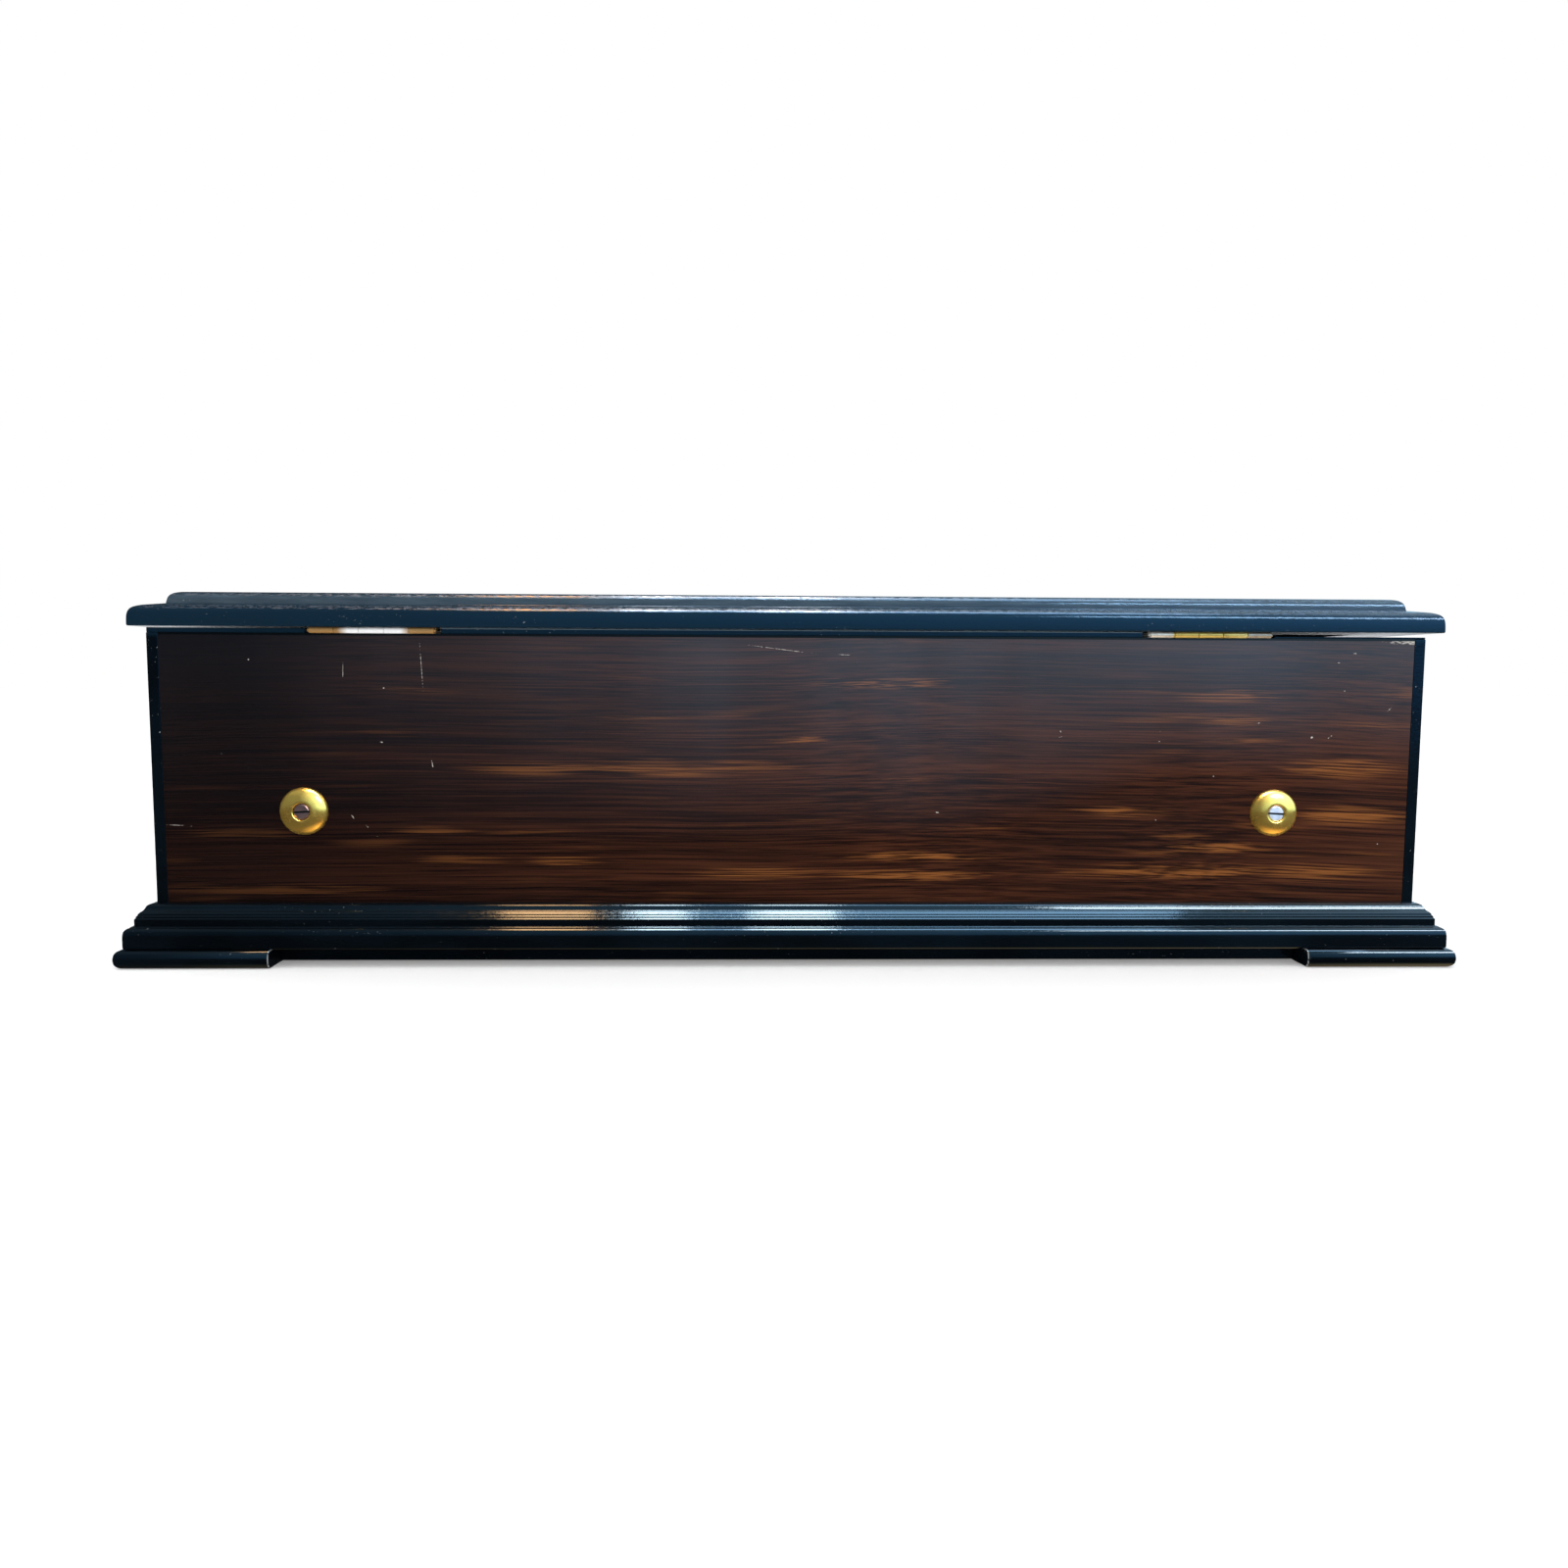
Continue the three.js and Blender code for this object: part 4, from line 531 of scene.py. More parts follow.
def polished_brass(name, tone=None, roughness=(0.14, 0.28), grain=(3, 3, 3)):
    """Cast or rolled brass, turned or filed and then polished by hand. Old polish leaves it mellow, with
    soft cloudy patches, fine wipe lines and a little brown where a cloth doesn't reach."""
    material, add, place = new_material(name)
    tone = tone or tuple(bpy.context.scene.case_finish.brass)
    cloud = stretched_noise(add, place, (7, 7, 7), 3.0)
    wipes = stretched_noise(add, place, grain, 3.0, 0.7)
    patches = add(SMOOTH, cloud, 0.3, 0.7, *roughness)
    surface = {
        "Base Color": add(MIXED, add(SMOOTH, cloud, 0.35, 0.75, 0, 0.35), tone, linear("#A87628")),
        # A thin film of old lacquer and polish scatters a little of the light
        "Metallic": 0.84,
        "Roughness": add(PLUS, patches, add(SMOOTH, wipes, 0.3, 0.7, -0.04, 0.06)),
    }
    finish_material(add, surface, wipes, 0.01, 0.15)
    return material


def hinge_brass_with_painted_highlight(name, ends, tones):
    """Rolled brass, folded round the pin and rubbed by hands: bronze where it is dull, pale where it has
    worn bright, and a matt white painted highlight where the tones put one. Tones are (share of the length,
    colour, matt share) from end to end."""
    material, add, place = new_material(name)
    x = add("SeparateXYZ", place).outputs["X"]
    stops = [(share, (*linear(tone)[:3], 1 - matt)) for share, tone, matt in tones]
    # The tones along the hinge, with the painted highlight where a tone is matt white
    worn = add("ValToRGB", add(EVEN, x, ends[0] * MM, ends[1] * MM), stops=stops).outputs
    cloud = stretched_noise(add, place, (4, 1.5, 1.5), 3.0, 0.65)
    stain = add(TIMES, add(SMOOTH, cloud, 0.45, 0.7, 0, 0.8), worn["Alpha"])
    surface = {
        "Base Color": add(MIXED, stain, worn["Color"], linear("#8A6A3C")),
        "Metallic": worn["Alpha"],
        "Roughness": add(SMOOTH, cloud, 0.3, 0.7, 0.36, 0.5),
    }
    finish_material(add, surface, cloud, 0.05, 0.4)
    return material


def polished_steel(name, tone="#C9CDD2", roughness=(0.14, 0.3), grain=(2, 2, 2)):
    """Steel, turned or ground and then polished. Cool grey, with fine lines from the stone, a few
    faint brown spots from age, and painted shade that darkens its slots."""
    material, add, place = new_material(name)
    lines = stretched_noise(add, place, grain, 3.0, 0.7)
    spots = stretched_noise(add, place, (2.5, 2.5, 2.5), 3.0, 0.7)
    colour = add(MIXED, add(SMOOTH, spots, 0.6, 0.75, 0, 0.5), linear(tone), linear("#7A6553"))
    # Painted shade: faces marked in the slot are coloured near black and lose their shine
    painted_slot_shade = add("Attribute", attribute_name="painted_slot_shade").outputs["Fac"]
    surface = {
        "Base Color": add(MIXED, painted_slot_shade, colour, linear("#0D0A08")),
        "Metallic": add(MINUS, 0.9, painted_slot_shade),
        "Roughness": add(SMOOTH, lines, 0.3, 0.7, *roughness),
    }
    finish_material(add, surface, lines, 0.01, 0.12)
    return material


def plain_fruitwood(name, grain_along="X"):
    """Fruitwood boards, planed and thinly varnished. Pale brown, with a soft straight grain and a low
    sheen."""
    material, add, place = new_material(name)
    band, hair = (180, 9, 9), (30, 0.7, 0.7)
    if grain_along == "Y":
        band, hair = (9, 180, 9), (0.7, 30, 0.7)
    bands = add(SMOOTH, stretched_noise(add, place, band, 3.0, 0.6), 0.3, 0.7)
    hairs = stretched_noise(add, place, hair, 2.0, 0.7)
    colour = add(MIXED, bands, linear("#6A452A"), linear("#96683F"))
    colour = add(MIXED, add(SMOOTH, hairs, 0.3, 0.6, 0.45, 0), colour, linear("#3E2415"))
    finish_material(add, {"Base Color": colour, "Roughness": 0.5}, hairs, 0.05, 0.5)
    return material


def drawn_glass(name):
    """Drawn window glass: clear, with faint waves along the draw."""
    material, add, place = new_material(name)
    waves = stretched_noise(add, place, (120, 26, 40), 1.0)
    surface = {
        "Base Color": linear("#EAF4F0"),
        "Roughness": 0.01,
        "IOR": 1.5,
        "Transmission Weight": 1.0,
    }
    finish_material(add, surface, waves, 0.3, 0.4)
    return material


def studio_paper(name):
    """Matt paper, rolled out flat. Pale and even, with no shine."""
    material, add, place = new_material(name)
    tint = add(SMOOTH, stretched_noise(add, place, (400, 400, 400), 1.0), 0.3, 0.7)
    pale = tuple(bpy.context.scene.studio_setup.floor_colour)
    surface = {
        "Base Color": add(MIXED, tint, pale, linear("#F8F8F8")),
        "Roughness": 0.9,
        "Specular IOR Level": 0.0,
        # Lit a little from below, which keeps the shadows soft
        "Emission Color": (1, 1, 1, 1),
        "Emission Strength": 0.2,
    }
    finish_material(add, surface)
    return material


def material_named(name, maker, **settings):
    """The material of that name, made the first time it is asked for."""
    return bpy.data.materials.get(name) or maker(name, **settings)


def ebony():
    """The finish of all the black mouldings, strips and feet."""
    return material_named("ebonised_pearwood_french_polished", ebonised_wood)


def brass_fittings():
    """The finish of the washers, the escutcheon and the wheels."""
    return material_named("brass_turned_and_polished", polished_brass)


def box_of(node):
    """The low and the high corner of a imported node, in millimetres."""
    return [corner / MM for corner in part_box(node)]


def dress_nodes(material, *nodes):
    """Gives CAD nodes a material."""
    for node in nodes:
        frame["nodes"][node].material_slots[0].material = material


def finish_piece(bm, name, material, node, replaces=True, sharp=32):
    """Turns a bmesh into a named piece that rides where a CAD node does, and stands for it."""
    bmesh.ops.recalc_face_normals(bm, faces=bm.faces)
    mesh = bpy.data.meshes.new(name)
    bm.to_mesh(mesh)
    bm.free()
    mesh.shade_smooth()
    mesh.set_sharp_from_angle(angle=math.radians(sharp))
    mesh.materials.append(material)
    piece = bpy.data.objects.new(name, mesh)
    bpy.context.scene.collection.objects.link(piece)
    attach(piece, BODY_OF[node])
    if replaces:
        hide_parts(node)
    return piece


def evened(piece):
    """Lets the broad faces of a moulded piece set its shading, so that they mirror as flat ones."""
    even = piece.modifiers.new("even_shading", "WEIGHTED_NORMAL")
    even.keep_sharp = True


def bevelled(bm, corners, width, segments, affect):
    """Rounds the given vertices or edges."""
    return bmesh.ops.bevel(
        bm,
        geom=corners,
        offset=width,
        offset_type="OFFSET",
        segments=segments,
        profile=0.5,
        affect=affect,
        material=-1,
        clamp_overlap=affect == "EDGES",
    )


def soften(bm, width, segments=2, angle=30, chosen=None):
    """Rounds the edges that turn by more than an angle."""
    edges = [
        edge
        for edge in chosen or bm.edges
        if len(edge.link_faces) == 2 and edge.calc_face_angle() > math.radians(angle)
    ]
    return bevelled(bm, edges, width, segments, "EDGES")


def soft_outline(corners):
    """A flat face across X through (out, up, softness) corners. Softness 1 rounds a corner as far as its
    shorter side allows, so that a row of them makes one smooth curve."""
    bm = bmesh.new()
    ring = [bm.verts.new((0, out * MM, up * MM)) for out, up, _ in corners]
    bm.faces.new(ring)
    places = [vert.co.copy() for vert in ring]
    for index, (_, _, softness) in enumerate(corners):
        if softness:
            here = places[index]
            after = places[(index + 1) % len(places)]
            reach = min((here - places[index - 1]).length, (after - here).length) / 2
            bevelled(bm, [ring[index]], reach * softness, 5, "VERTICES")
    bmesh.ops.remove_doubles(bm, verts=bm.verts, dist=1e-6)
    return bm


def drawn_out(corners, start_x, end_x, out_from, bottom):
    """Soft corners carried along X from one place to another, with their outward side towards +Y."""
    bm = soft_outline(corners)
    bmesh.ops.translate(bm, verts=bm.verts, vec=(start_x, out_from, bottom))
    grown = bmesh.ops.extrude_face_region(bm, geom=bm.faces[:])["geom"]
    ends = [item for item in grown if isinstance(item, bmesh.types.BMVert)]
    bmesh.ops.translate(bm, verts=ends, vec=(end_x - start_x, 0, 0))
    return bm


def saw(bm, place, direction, take_off=True):
    """Saws through a plane, and takes off what lies beyond it unless told not to."""
    bmesh.ops.bisect_plane(
        bm,
        geom=bm.verts[:] + bm.edges[:] + bm.faces[:],
        dist=1e-7,
        plane_co=place,
        plane_no=direction,
        clear_outer=take_off,
    )


def mitred_run(corners, bottom, side, gap):
    """One length of moulding along a side of the case, sawn to a mitre at both ends."""
    along, across = (HALF_LENGTH, HALF_DEPTH) if side in FACES else (HALF_DEPTH, HALF_LENGTH)
    reach = (along + MITRE_WASTE) * MM
    bm = drawn_out(corners, -reach, reach, across * MM, bottom * MM)
    for sign in (-1, 1):
        saw(bm, (sign * (along * MM - gap), across * MM, 0), (sign, -1, 0))
        bmesh.ops.holes_fill(bm, edges=[edge for edge in bm.edges if edge.is_boundary])
    worn = bm.faces.layers.float.new("worn")
    for made in soften(bm, gap * 2, 1, 40, [e for e in bm.edges if is_mitre_edge(e)])["faces"]:
        made[worn] = MITRE_WORN
    turn = Matrix.Rotation(math.radians(90 * SIDE_TURNS[side]), 3, "Z")
    bmesh.ops.rotate(bm, verts=bm.verts, cent=(0, 0, 0), matrix=turn)
    return bm


def is_mitre_edge(edge):
    """Whether an edge bounds one of a moulding's two slanted ends."""
    return any(abs(face.normal.x) > 0.6 and abs(face.normal.y) > 0.6 for face in edge.link_faces)


def eased_block(low, high, width, segments=3):
    """A block between two corners in millimetres, with its edges eased."""
    low, high = Vector(low) * MM, Vector(high) * MM
    bm = bmesh.new()
    bmesh.ops.create_cube(bm, size=1)
    bmesh.ops.scale(bm, verts=bm.verts, vec=high - low)
    bmesh.ops.translate(bm, verts=bm.verts, vec=(high + low) / 2)
    soften(bm, width, segments)
    return bm


def turned(outline, steps=64):
    """A shape turned on the Z axis from (radius, height) points in millimetres, closed at both ends."""
    bm = bmesh.new()
    verts = [bm.verts.new((radius * MM, 0, height * MM)) for radius, height in outline]
    edges = [bm.edges.new(pair) for pair in zip(verts, verts[1:])]
    if outline[0][0] and outline[-1][0]:
        edges.append(bm.edges.new((verts[-1], verts[0])))
    bmesh.ops.spin(
        bm,
        geom=verts + edges,
        cent=(0, 0, 0),
        axis=(0, 0, 1),
        dvec=(0, 0, 0),
        angle=math.tau,
        steps=steps,
        use_merge=True,
        use_normal_flip=False,
        use_duplicate=False,
    )
    bmesh.ops.remove_doubles(bm, verts=bm.verts, dist=1e-7)
    bmesh.ops.recalc_face_normals(bm, faces=bm.faces)
    return bm


def alike_ends(end, length):
    """A turned outline from that of one end, with the same end turned round at the full length."""
    return end + [(radius, length - height) for radius, height in reversed(end)]


def laid(bm, axis, degrees, place=(0, 0, 0)):
    """Turns a shape about an axis through the origin and moves it to a place in millimetres."""
    turn = Matrix.Rotation(math.radians(degrees), 3, axis)
    bmesh.ops.rotate(bm, verts=bm.verts, cent=(0, 0, 0), matrix=turn)
    bmesh.ops.translate(bm, verts=bm.verts, vec=Vector(place) * MM)


def stand_on_face(bm, x, face, z):
    """Moves a shape turned on Z onto the front or back of the case, pointing outwards."""
    laid(bm, "X", -90 * FACES[face], (x, FACES[face] * HALF_DEPTH, z))


def add_shape(bm, other):
    """Adds another bmesh's shape to a bmesh, and frees the other."""
    spare = bpy.data.meshes.new("spare")
    other.to_mesh(spare)
    other.free()
    bm.from_mesh(spare)
    bpy.data.meshes.remove(spare)


def slotted(bm, width, depth, top):
    """Saws a slot across the top of a turned head, along X, open at both rims."""
    half, floor = width / 2 * MM, (top - depth) * MM
    for side in (-1, 1):
        saw(bm, (0, side * half, 0), (0, 1, 0), take_off=False)
    saw(bm, (0, 0, floor), (0, 0, 1), take_off=False)
    middles = {face: face.calc_center_median() for face in bm.faces}
    strip = [face for face, at in middles.items() if abs(at.y) < half and at.z > floor + 1e-7]
    bmesh.ops.delete(bm, geom=strip, context="FACES")
    rim = [edge for edge in bm.edges if edge.is_boundary]
    for side in (-1, 1):
        wall = [e for e in rim if all(abs(v.co.y - side * half) < 1e-6 for v in e.verts)]
        for dropped in bmesh.ops.extrude_edge_only(bm, edges=wall)["geom"]:
            if isinstance(dropped, bmesh.types.BMVert):
                dropped.co.z = floor
    bmesh.ops.remove_doubles(bm, verts=bm.verts, dist=1e-7)
    bmesh.ops.contextual_create(bm, geom=[edge for edge in bm.edges if edge.is_boundary])
    # Marks the slot's faces, where painted shade goes
    painted_slot_shade = bm.faces.layers.float.new("painted_slot_shade")
    for face in bm.faces:
        at = face.calc_center_median()
        if abs(at.y) < half + 0.01 * MM and at.z > floor - 0.01 * MM:
            face[painted_slot_shade] = 1.0


def flat_cutout(name, outer, holes, thickness, bevel):
    """A plate from an outline with holes, its face edges softened, as a bmesh in the XY plane."""
    curve = bpy.data.curves.new(name, "CURVE")
    curve.dimensions = "2D"
    curve.fill_mode = "BOTH"
    curve.extrude = (thickness / 2 - bevel) * MM
    curve.bevel_depth = bevel * MM
    curve.bevel_resolution = 3
    for ring in (outer, *holes):
        spline = curve.splines.new("POLY")
        spline.points.add(len(ring) - 1)
        for point, (x, y) in zip(spline.points, ring):
            point.co = (x * MM, y * MM, 0, 1)
        spline.use_cyclic_u = True
    holder = bpy.data.objects.new(name, curve)
    bpy.context.scene.collection.objects.link(holder)
    bpy.context.view_layer.update()
    drawn = holder.evaluated_get(bpy.context.evaluated_depsgraph_get())
    mesh = bpy.data.meshes.new_from_object(drawn)
    bpy.data.objects.remove(holder)
    bm = bmesh.new()
    bm.from_mesh(mesh)
    bpy.data.meshes.remove(mesh)
    bmesh.ops.remove_doubles(bm, verts=bm.verts, dist=1e-6)
    return bm


class MUSICBOX_OT_veneer(bpy.types.Operator):
    """Veneers the case and the lid"""

    bl_idname = "musicbox.veneer"
    bl_label = "Veneer"

    def execute(self, context):
        panels = {
            "back": ({"worn_back": True}, ["back_panel"]),
            "front": ({"bloom": 0.12, "inlay": (312, 58, "front")}, ["front_panel"]),
            "end": ({"grain_along": "Y", "bloom": 0.15}, ["left_end_panel", "right_end_panel"]),
            "lid": ({"bloom": 0, "inlay": (290, 81, "lid")}, ["lid_panel"]),
        }
        for panel, (settings, nodes) in panels.items():
            name = f"rosewood_veneer_{panel}_french_polished"
            dress_nodes(material_named(name, rosewood_veneer, **settings), *nodes)
        return {"FINISHED"}


class MUSICBOX_OT_corner_strips(bpy.types.Operator):
    """Builds the square strips let into the case's corners"""

    bl_idname = "musicbox.corner_strips"
    bl_label = "Corner strips"

    def execute(self, context):
        arris = context.scene.case_finish.arris
        for end in ENDS:
            for face in FACES:
                node = f"corner_strip_{face}_{end}"
                bm = eased_block(*box_of(node), arris)
                evened(finish_piece(bm, f"ebonised_{node}", ebony(), node))
        return {"FINISHED"}


class MUSICBOX_OT_base_moulding(bpy.types.Operator):
    """Builds the four mitred lengths of base moulding"""

    bl_idname = "musicbox.base_moulding"
    bl_label = "Base moulding"

    def execute(self, context):
        gap = context.scene.case_finish.mitre_gap
        for side in SIDE_TURNS:
            bm = mitred_run(BASE_OUTLINE, BASE_BOTTOM, side, gap)
            node = f"base_moulding_{side}"
            evened(finish_piece(bm, f"base_run_{side}", ebony(), node, sharp=20))
        return {"FINISHED"}


class MUSICBOX_OT_lid_moulding(bpy.types.Operator):
    """Builds the four mitred lengths of lid moulding"""

    bl_idname = "musicbox.lid_moulding"
    bl_label = "Lid moulding"

    def execute(self, context):
        gap = context.scene.case_finish.mitre_gap
        for side in SIDE_TURNS:
            bm = mitred_run(LID_OUTLINE, LID_BOTTOM, side, gap)
            evened(finish_piece(bm, f"lid_run_{side}", ebony(), f"lid_moulding_{side}"))
        return {"FINISHED"}


class MUSICBOX_OT_edging(bpy.types.Operator):
    """Builds the thin black edging on the body's top and, under it, black rails as painted shadow"""

    bl_idname = "musicbox.edging"
    bl_label = "Edging and rails"

    def execute(self, context):
        ease = context.scene.case_finish.arris * 0.7
        runs = {f"top_edging_{name}": (*run, BODY_TOP) for name, run in EDGING.items()}
        for name, run in SHADOW_STRIPS.items():
            runs[f"plinth_rail_{name}"] = (*run, BASE_BOTTOM, SHADOW_STRIP_BOTTOM)
        for name, (low, high, top, bottom) in runs.items():
            bm = eased_block((*low, bottom), (*high, top), ease)
            evened(finish_piece(bm, name, ebony(), "bottom_board", False))
        return {"FINISHED"}


def foot_leg(end_x):
    """One leg of a foot, along X from its sawn end to the open mitre at the case's back right corner."""
    end = (HALF_LENGTH + MITRE_WASTE) * MM
    bm = drawn_out(FOOT_OUTLINE, end_x * MM, end, HALF_DEPTH * MM, 0)
    saw(bm, (HALF_LENGTH * MM, HALF_DEPTH * MM, 0), (1, -1, 0))
    return bm


def corner_foot(arris):
    """The foot at the back right corner, its sawn ends eased and marked as worn."""
    bm = foot_leg(FOOT_END_X)
    # The other leg is the same strip, turned over across the mitre
    other = foot_leg(FOOT_END_Y - HALF_DEPTH + HALF_LENGTH)
    shift = (HALF_LENGTH - HALF_DEPTH) * MM
    swap = Matrix(((0, 1, 0, shift), (1, 0, 0, -shift), (0, 0, 1, 0), (0, 0, 0, 1)))
    bmesh.ops.transform(other, verts=other.verts, matrix=swap)
    add_shape(bm, other)
    bmesh.ops.remove_doubles(bm, verts=bm.verts, dist=1e-5)
    bmesh.ops.recalc_face_normals(bm, faces=bm.faces)
    worn = bm.faces.layers.float.new("worn")
    ends = [
        edge
        for edge in bm.edges
        if any(len(f.verts) > 8 and abs(f.normal.z) < 0.5 for f in edge.link_faces)
        and max(v.co.y for v in edge.verts) > (HALF_DEPTH - FOOT_EASED_TO) * MM
    ]
    for made in soften(bm, arris, 2, 40, ends)["faces"]:
        made[worn] = FOOT_END_WORN
    return bm


class MUSICBOX_OT_feet(bpy.types.Operator):
    """Builds the four corner feet, each two legs of bullnosed strip"""

    bl_idname = "musicbox.feet"
    bl_label = "Feet"

    def execute(self, context):
        for end, sign_x in ENDS.items():
            for face, sign_y in FACES.items():
                bm = corner_foot(context.scene.case_finish.arris)
                bmesh.ops.scale(bm, verts=bm.verts, vec=(sign_x, sign_y, 1))
                finish_piece(bm, f"corner_foot_{face}_{end}", ebony(), f"foot_{face}_{end}")
        return {"FINISHED"}


class MUSICBOX_OT_hinges(bpy.types.Operator):
    """Builds the butt hinges: two leaves, five knuckles and a pin with domed ends"""

    bl_idname = "musicbox.hinges"
    bl_label = "Hinges"

    def execute(self, context):
        for end, sign in ENDS.items():
            ends = [sign * place for place in HINGE_ENDS]
            brass = hinge_brass_with_painted_highlight(f"brass_hinge_{end}_rubbed", ends, HINGE_TONES[end])
            start = (sum(ends) - HINGE_LENGTH) / 2
            for parity, leaf in enumerate(LEAF_BOTTOMS):
                plate = self.leaf(start, parity, LEAF_BOTTOMS[leaf])
                if leaf == "lower":
                    pin = turned(alike_ends(PIN_DOME, HINGE_LENGTH + 2 * PIN_PROUD), 24)
                    laid(pin, "Y", 90, (start - PIN_PROUD, *HINGE_AXIS))
                    add_shape(plate, pin)
                node = f"{leaf}_hinge_leaf_{end}"
                finish_piece(plate, f"brass_{node}", brass, node, sharp=40)
        return {"FINISHED"}

    def leaf(self, start, parity, bottom):
        """A plate that stops short of the knuckles, with a tongue to each of its own."""
        top = bottom + LEAF_THICKNESS
        inner_y = HINGE_AXIS[0] - KNUCKLE_RADIUS
        plate = eased_block(
            (start, HINGE_INNER_Y, bottom), (start + HINGE_LENGTH, inner_y - 0.1, top), 0.12 * MM, 1
        )
        step = HINGE_LENGTH / HINGE_KNUCKLES
        width = step - 2 * KNUCKLE_GAP
        rounded = [(0, 0), (KNUCKLE_RADIUS - 0.2, 0), (KNUCKLE_RADIUS, 0.2)]
        for index in range(parity, HINGE_KNUCKLES, 2):
            low = start + index * step + KNUCKLE_GAP
            high = (low + width, HINGE_AXIS[0], top)
            add_shape(plate, eased_block((low, inner_y - 0.4, bottom), high, 0.05 * MM, 1))
            knuckle = turned(alike_ends(rounded, width), 32)
            laid(knuckle, "Y", 90, (low, *HINGE_AXIS))
            add_shape(plate, knuckle)
        return plate


class MUSICBOX_OT_escutcheon(bpy.types.Operator):
    """Builds the oval keyhole escutcheon on the front"""

    bl_idname = "musicbox.escutcheon"
    bl_label = "Escutcheon"

    def execute(self, context):
        half_width, half_height = ESCUTCHEON_HALF
        turns = [math.tau * index / 72 for index in range(72)]
        oval = [(half_width * math.cos(turn), half_height * math.sin(turn)) for turn in turns]
        # The keyhole: a round hole over a slot
        opened = math.asin(KEYHOLE_HALF_SLOT / KEYHOLE_RADIUS)
        step = (math.tau - 2 * opened) / 30
        around = [opened - math.pi / 2 + index * step for index in range(31)]
        keyhole = [
            (KEYHOLE_RADIUS * math.cos(turn), KEYHOLE_RISE + KEYHOLE_RADIUS * math.sin(turn))
            for turn in around
        ]
        keyhole += [(-KEYHOLE_HALF_SLOT, KEYHOLE_FOOT), (KEYHOLE_HALF_SLOT, KEYHOLE_FOOT)]
        bm = flat_cutout("escutcheon", oval, [keyhole], ESCUTCHEON_THICKNESS, ESCUTCHEON_EASE)
        laid(bm, "X", 90, ESCUTCHEON_PLACE)
        node = "keyhole_escutcheon"
        finish_piece(bm, "oval_keyhole_escutcheon", brass_fittings(), node, sharp=50)
        return {"FINISHED"}


class MUSICBOX_OT_case_screws(bpy.types.Operator):
    """Builds the domed cup washers and the slotted screws in the front and the back"""

    bl_idname = "musicbox.case_screws"
    bl_label = "Case screws"

    def execute(self, context):
        # One end's screw heads are browned with age and the other end's are still bright
        tones = {"right": "#8A716E", "left": "#D3DCEA"}
        for face in FACES:
            for end, sign in ENDS.items():
                corner = f"{face}_{end}"
                washer = turned(WASHER_OUTLINE)
                stand_on_face(washer, sign * CASE_SCREW_X, face, CASE_SCREW_Z)
                name, node = f"domed_washer_{corner}", f"cup_washer_{corner}"
                finish_piece(washer, name, brass_fittings(), node, sharp=50)
                screw = turned(SCREW_OUTLINE, 48)
                slotted(screw, *SCREW_SLOT, SCREW_TOP)
                laid(screw, "Z", SCREW_LEAN * sign * FACES[face])
                stand_on_face(screw, sign * CASE_SCREW_X, face, CASE_SCREW_Z)
                steel = material_named(
                    f"steel_{end}_head_filed", polished_steel, tone=tones[end], roughness=(0.36, 0.5)
                )
                finish_piece(screw, f"slotted_screw_{corner}", steel, f"case_screw_{corner}")
        return {"FINISHED"}


class MUSICBOX_OT_movement(bpy.types.Operator):
    """Finishes the movement, the lock, the glass lid and the boards inside the case"""

    bl_idname = "musicbox.movement"
    bl_label = "Movement"

    def execute(self, context):
        bed = {"tone": linear("#C9A04E"), "roughness": (0.3, 0.42), "grain": (40, 0.5, 0.5)}
        ground = {"tone": "#7C8085", "roughness": (0.42, 0.52), "grain": (0.6, 40, 0.6)}
        brass_parts = ["comb_base", "spring_barrel", "governor_frame", "governor_wheel", "worm_wheel"]
        steel_arbors = ["cylinder_arbor", "winding_arbor", "endless_screw"]
        steel_levers = ["winding_lever", "click", "start_lever", "change_lever", "lock_bolt"]
        partitions = ["left_partition", "right_partition"]
        castings = ["bedplate", "barrel_bracket", "middle_bracket", "cylinder_bracket"]
        finishes = [
            ("fruitwood_planed_and_varnished", plain_fruitwood, {}, ["bottom_board"]),
            (
                "fruitwood_upright_planed_and_varnished",
                plain_fruitwood,
                {"grain_along": "Y"},
                partitions,
            ),
            ("brass_cast_and_lacquered", polished_brass, bed, castings),
            (
                "brass_plate_filed",
                polished_brass,
                {"roughness": (0.5, 0.62)},
                ["lock_case", "lock_link_plate"],
            ),
            ("steel_comb_ground", polished_steel, ground, ["comb"]),
            ("steel_screw_polished", polished_steel, {}, steel_arbors + steel_levers),
            ("window_glass_drawn", drawn_glass, {}, ["glass_pane"]),
        ]
        for name, maker, settings, nodes in finishes:
            dress_nodes(material_named(name, maker, **settings), *nodes)
        dress_nodes(brass_fittings(), *brass_parts)
        dress_nodes(ebony(), "glass_frame")
        return {"FINISHED"}


def pinned_pattern(chance):
    """Where a tune cylinder's pins stand, as (tooth, share of a turn, tune)."""
    pins = []
    for beat in range(BEATS):
        # A bar is two beats of melody for each chord
        notes = 14 if beat % 3 == 0 else 7
        centre = COMB_TEETH * (0.5 + 0.3 * math.sin(beat * 0.21))
        for _ in range(notes):
            tooth = round(chance.gauss(centre, COMB_TEETH * 0.22)) % COMB_TEETH
            pins.append((tooth, (beat + chance.random() * 0.3) / BEATS, chance.randrange(TUNES)))
    return pins


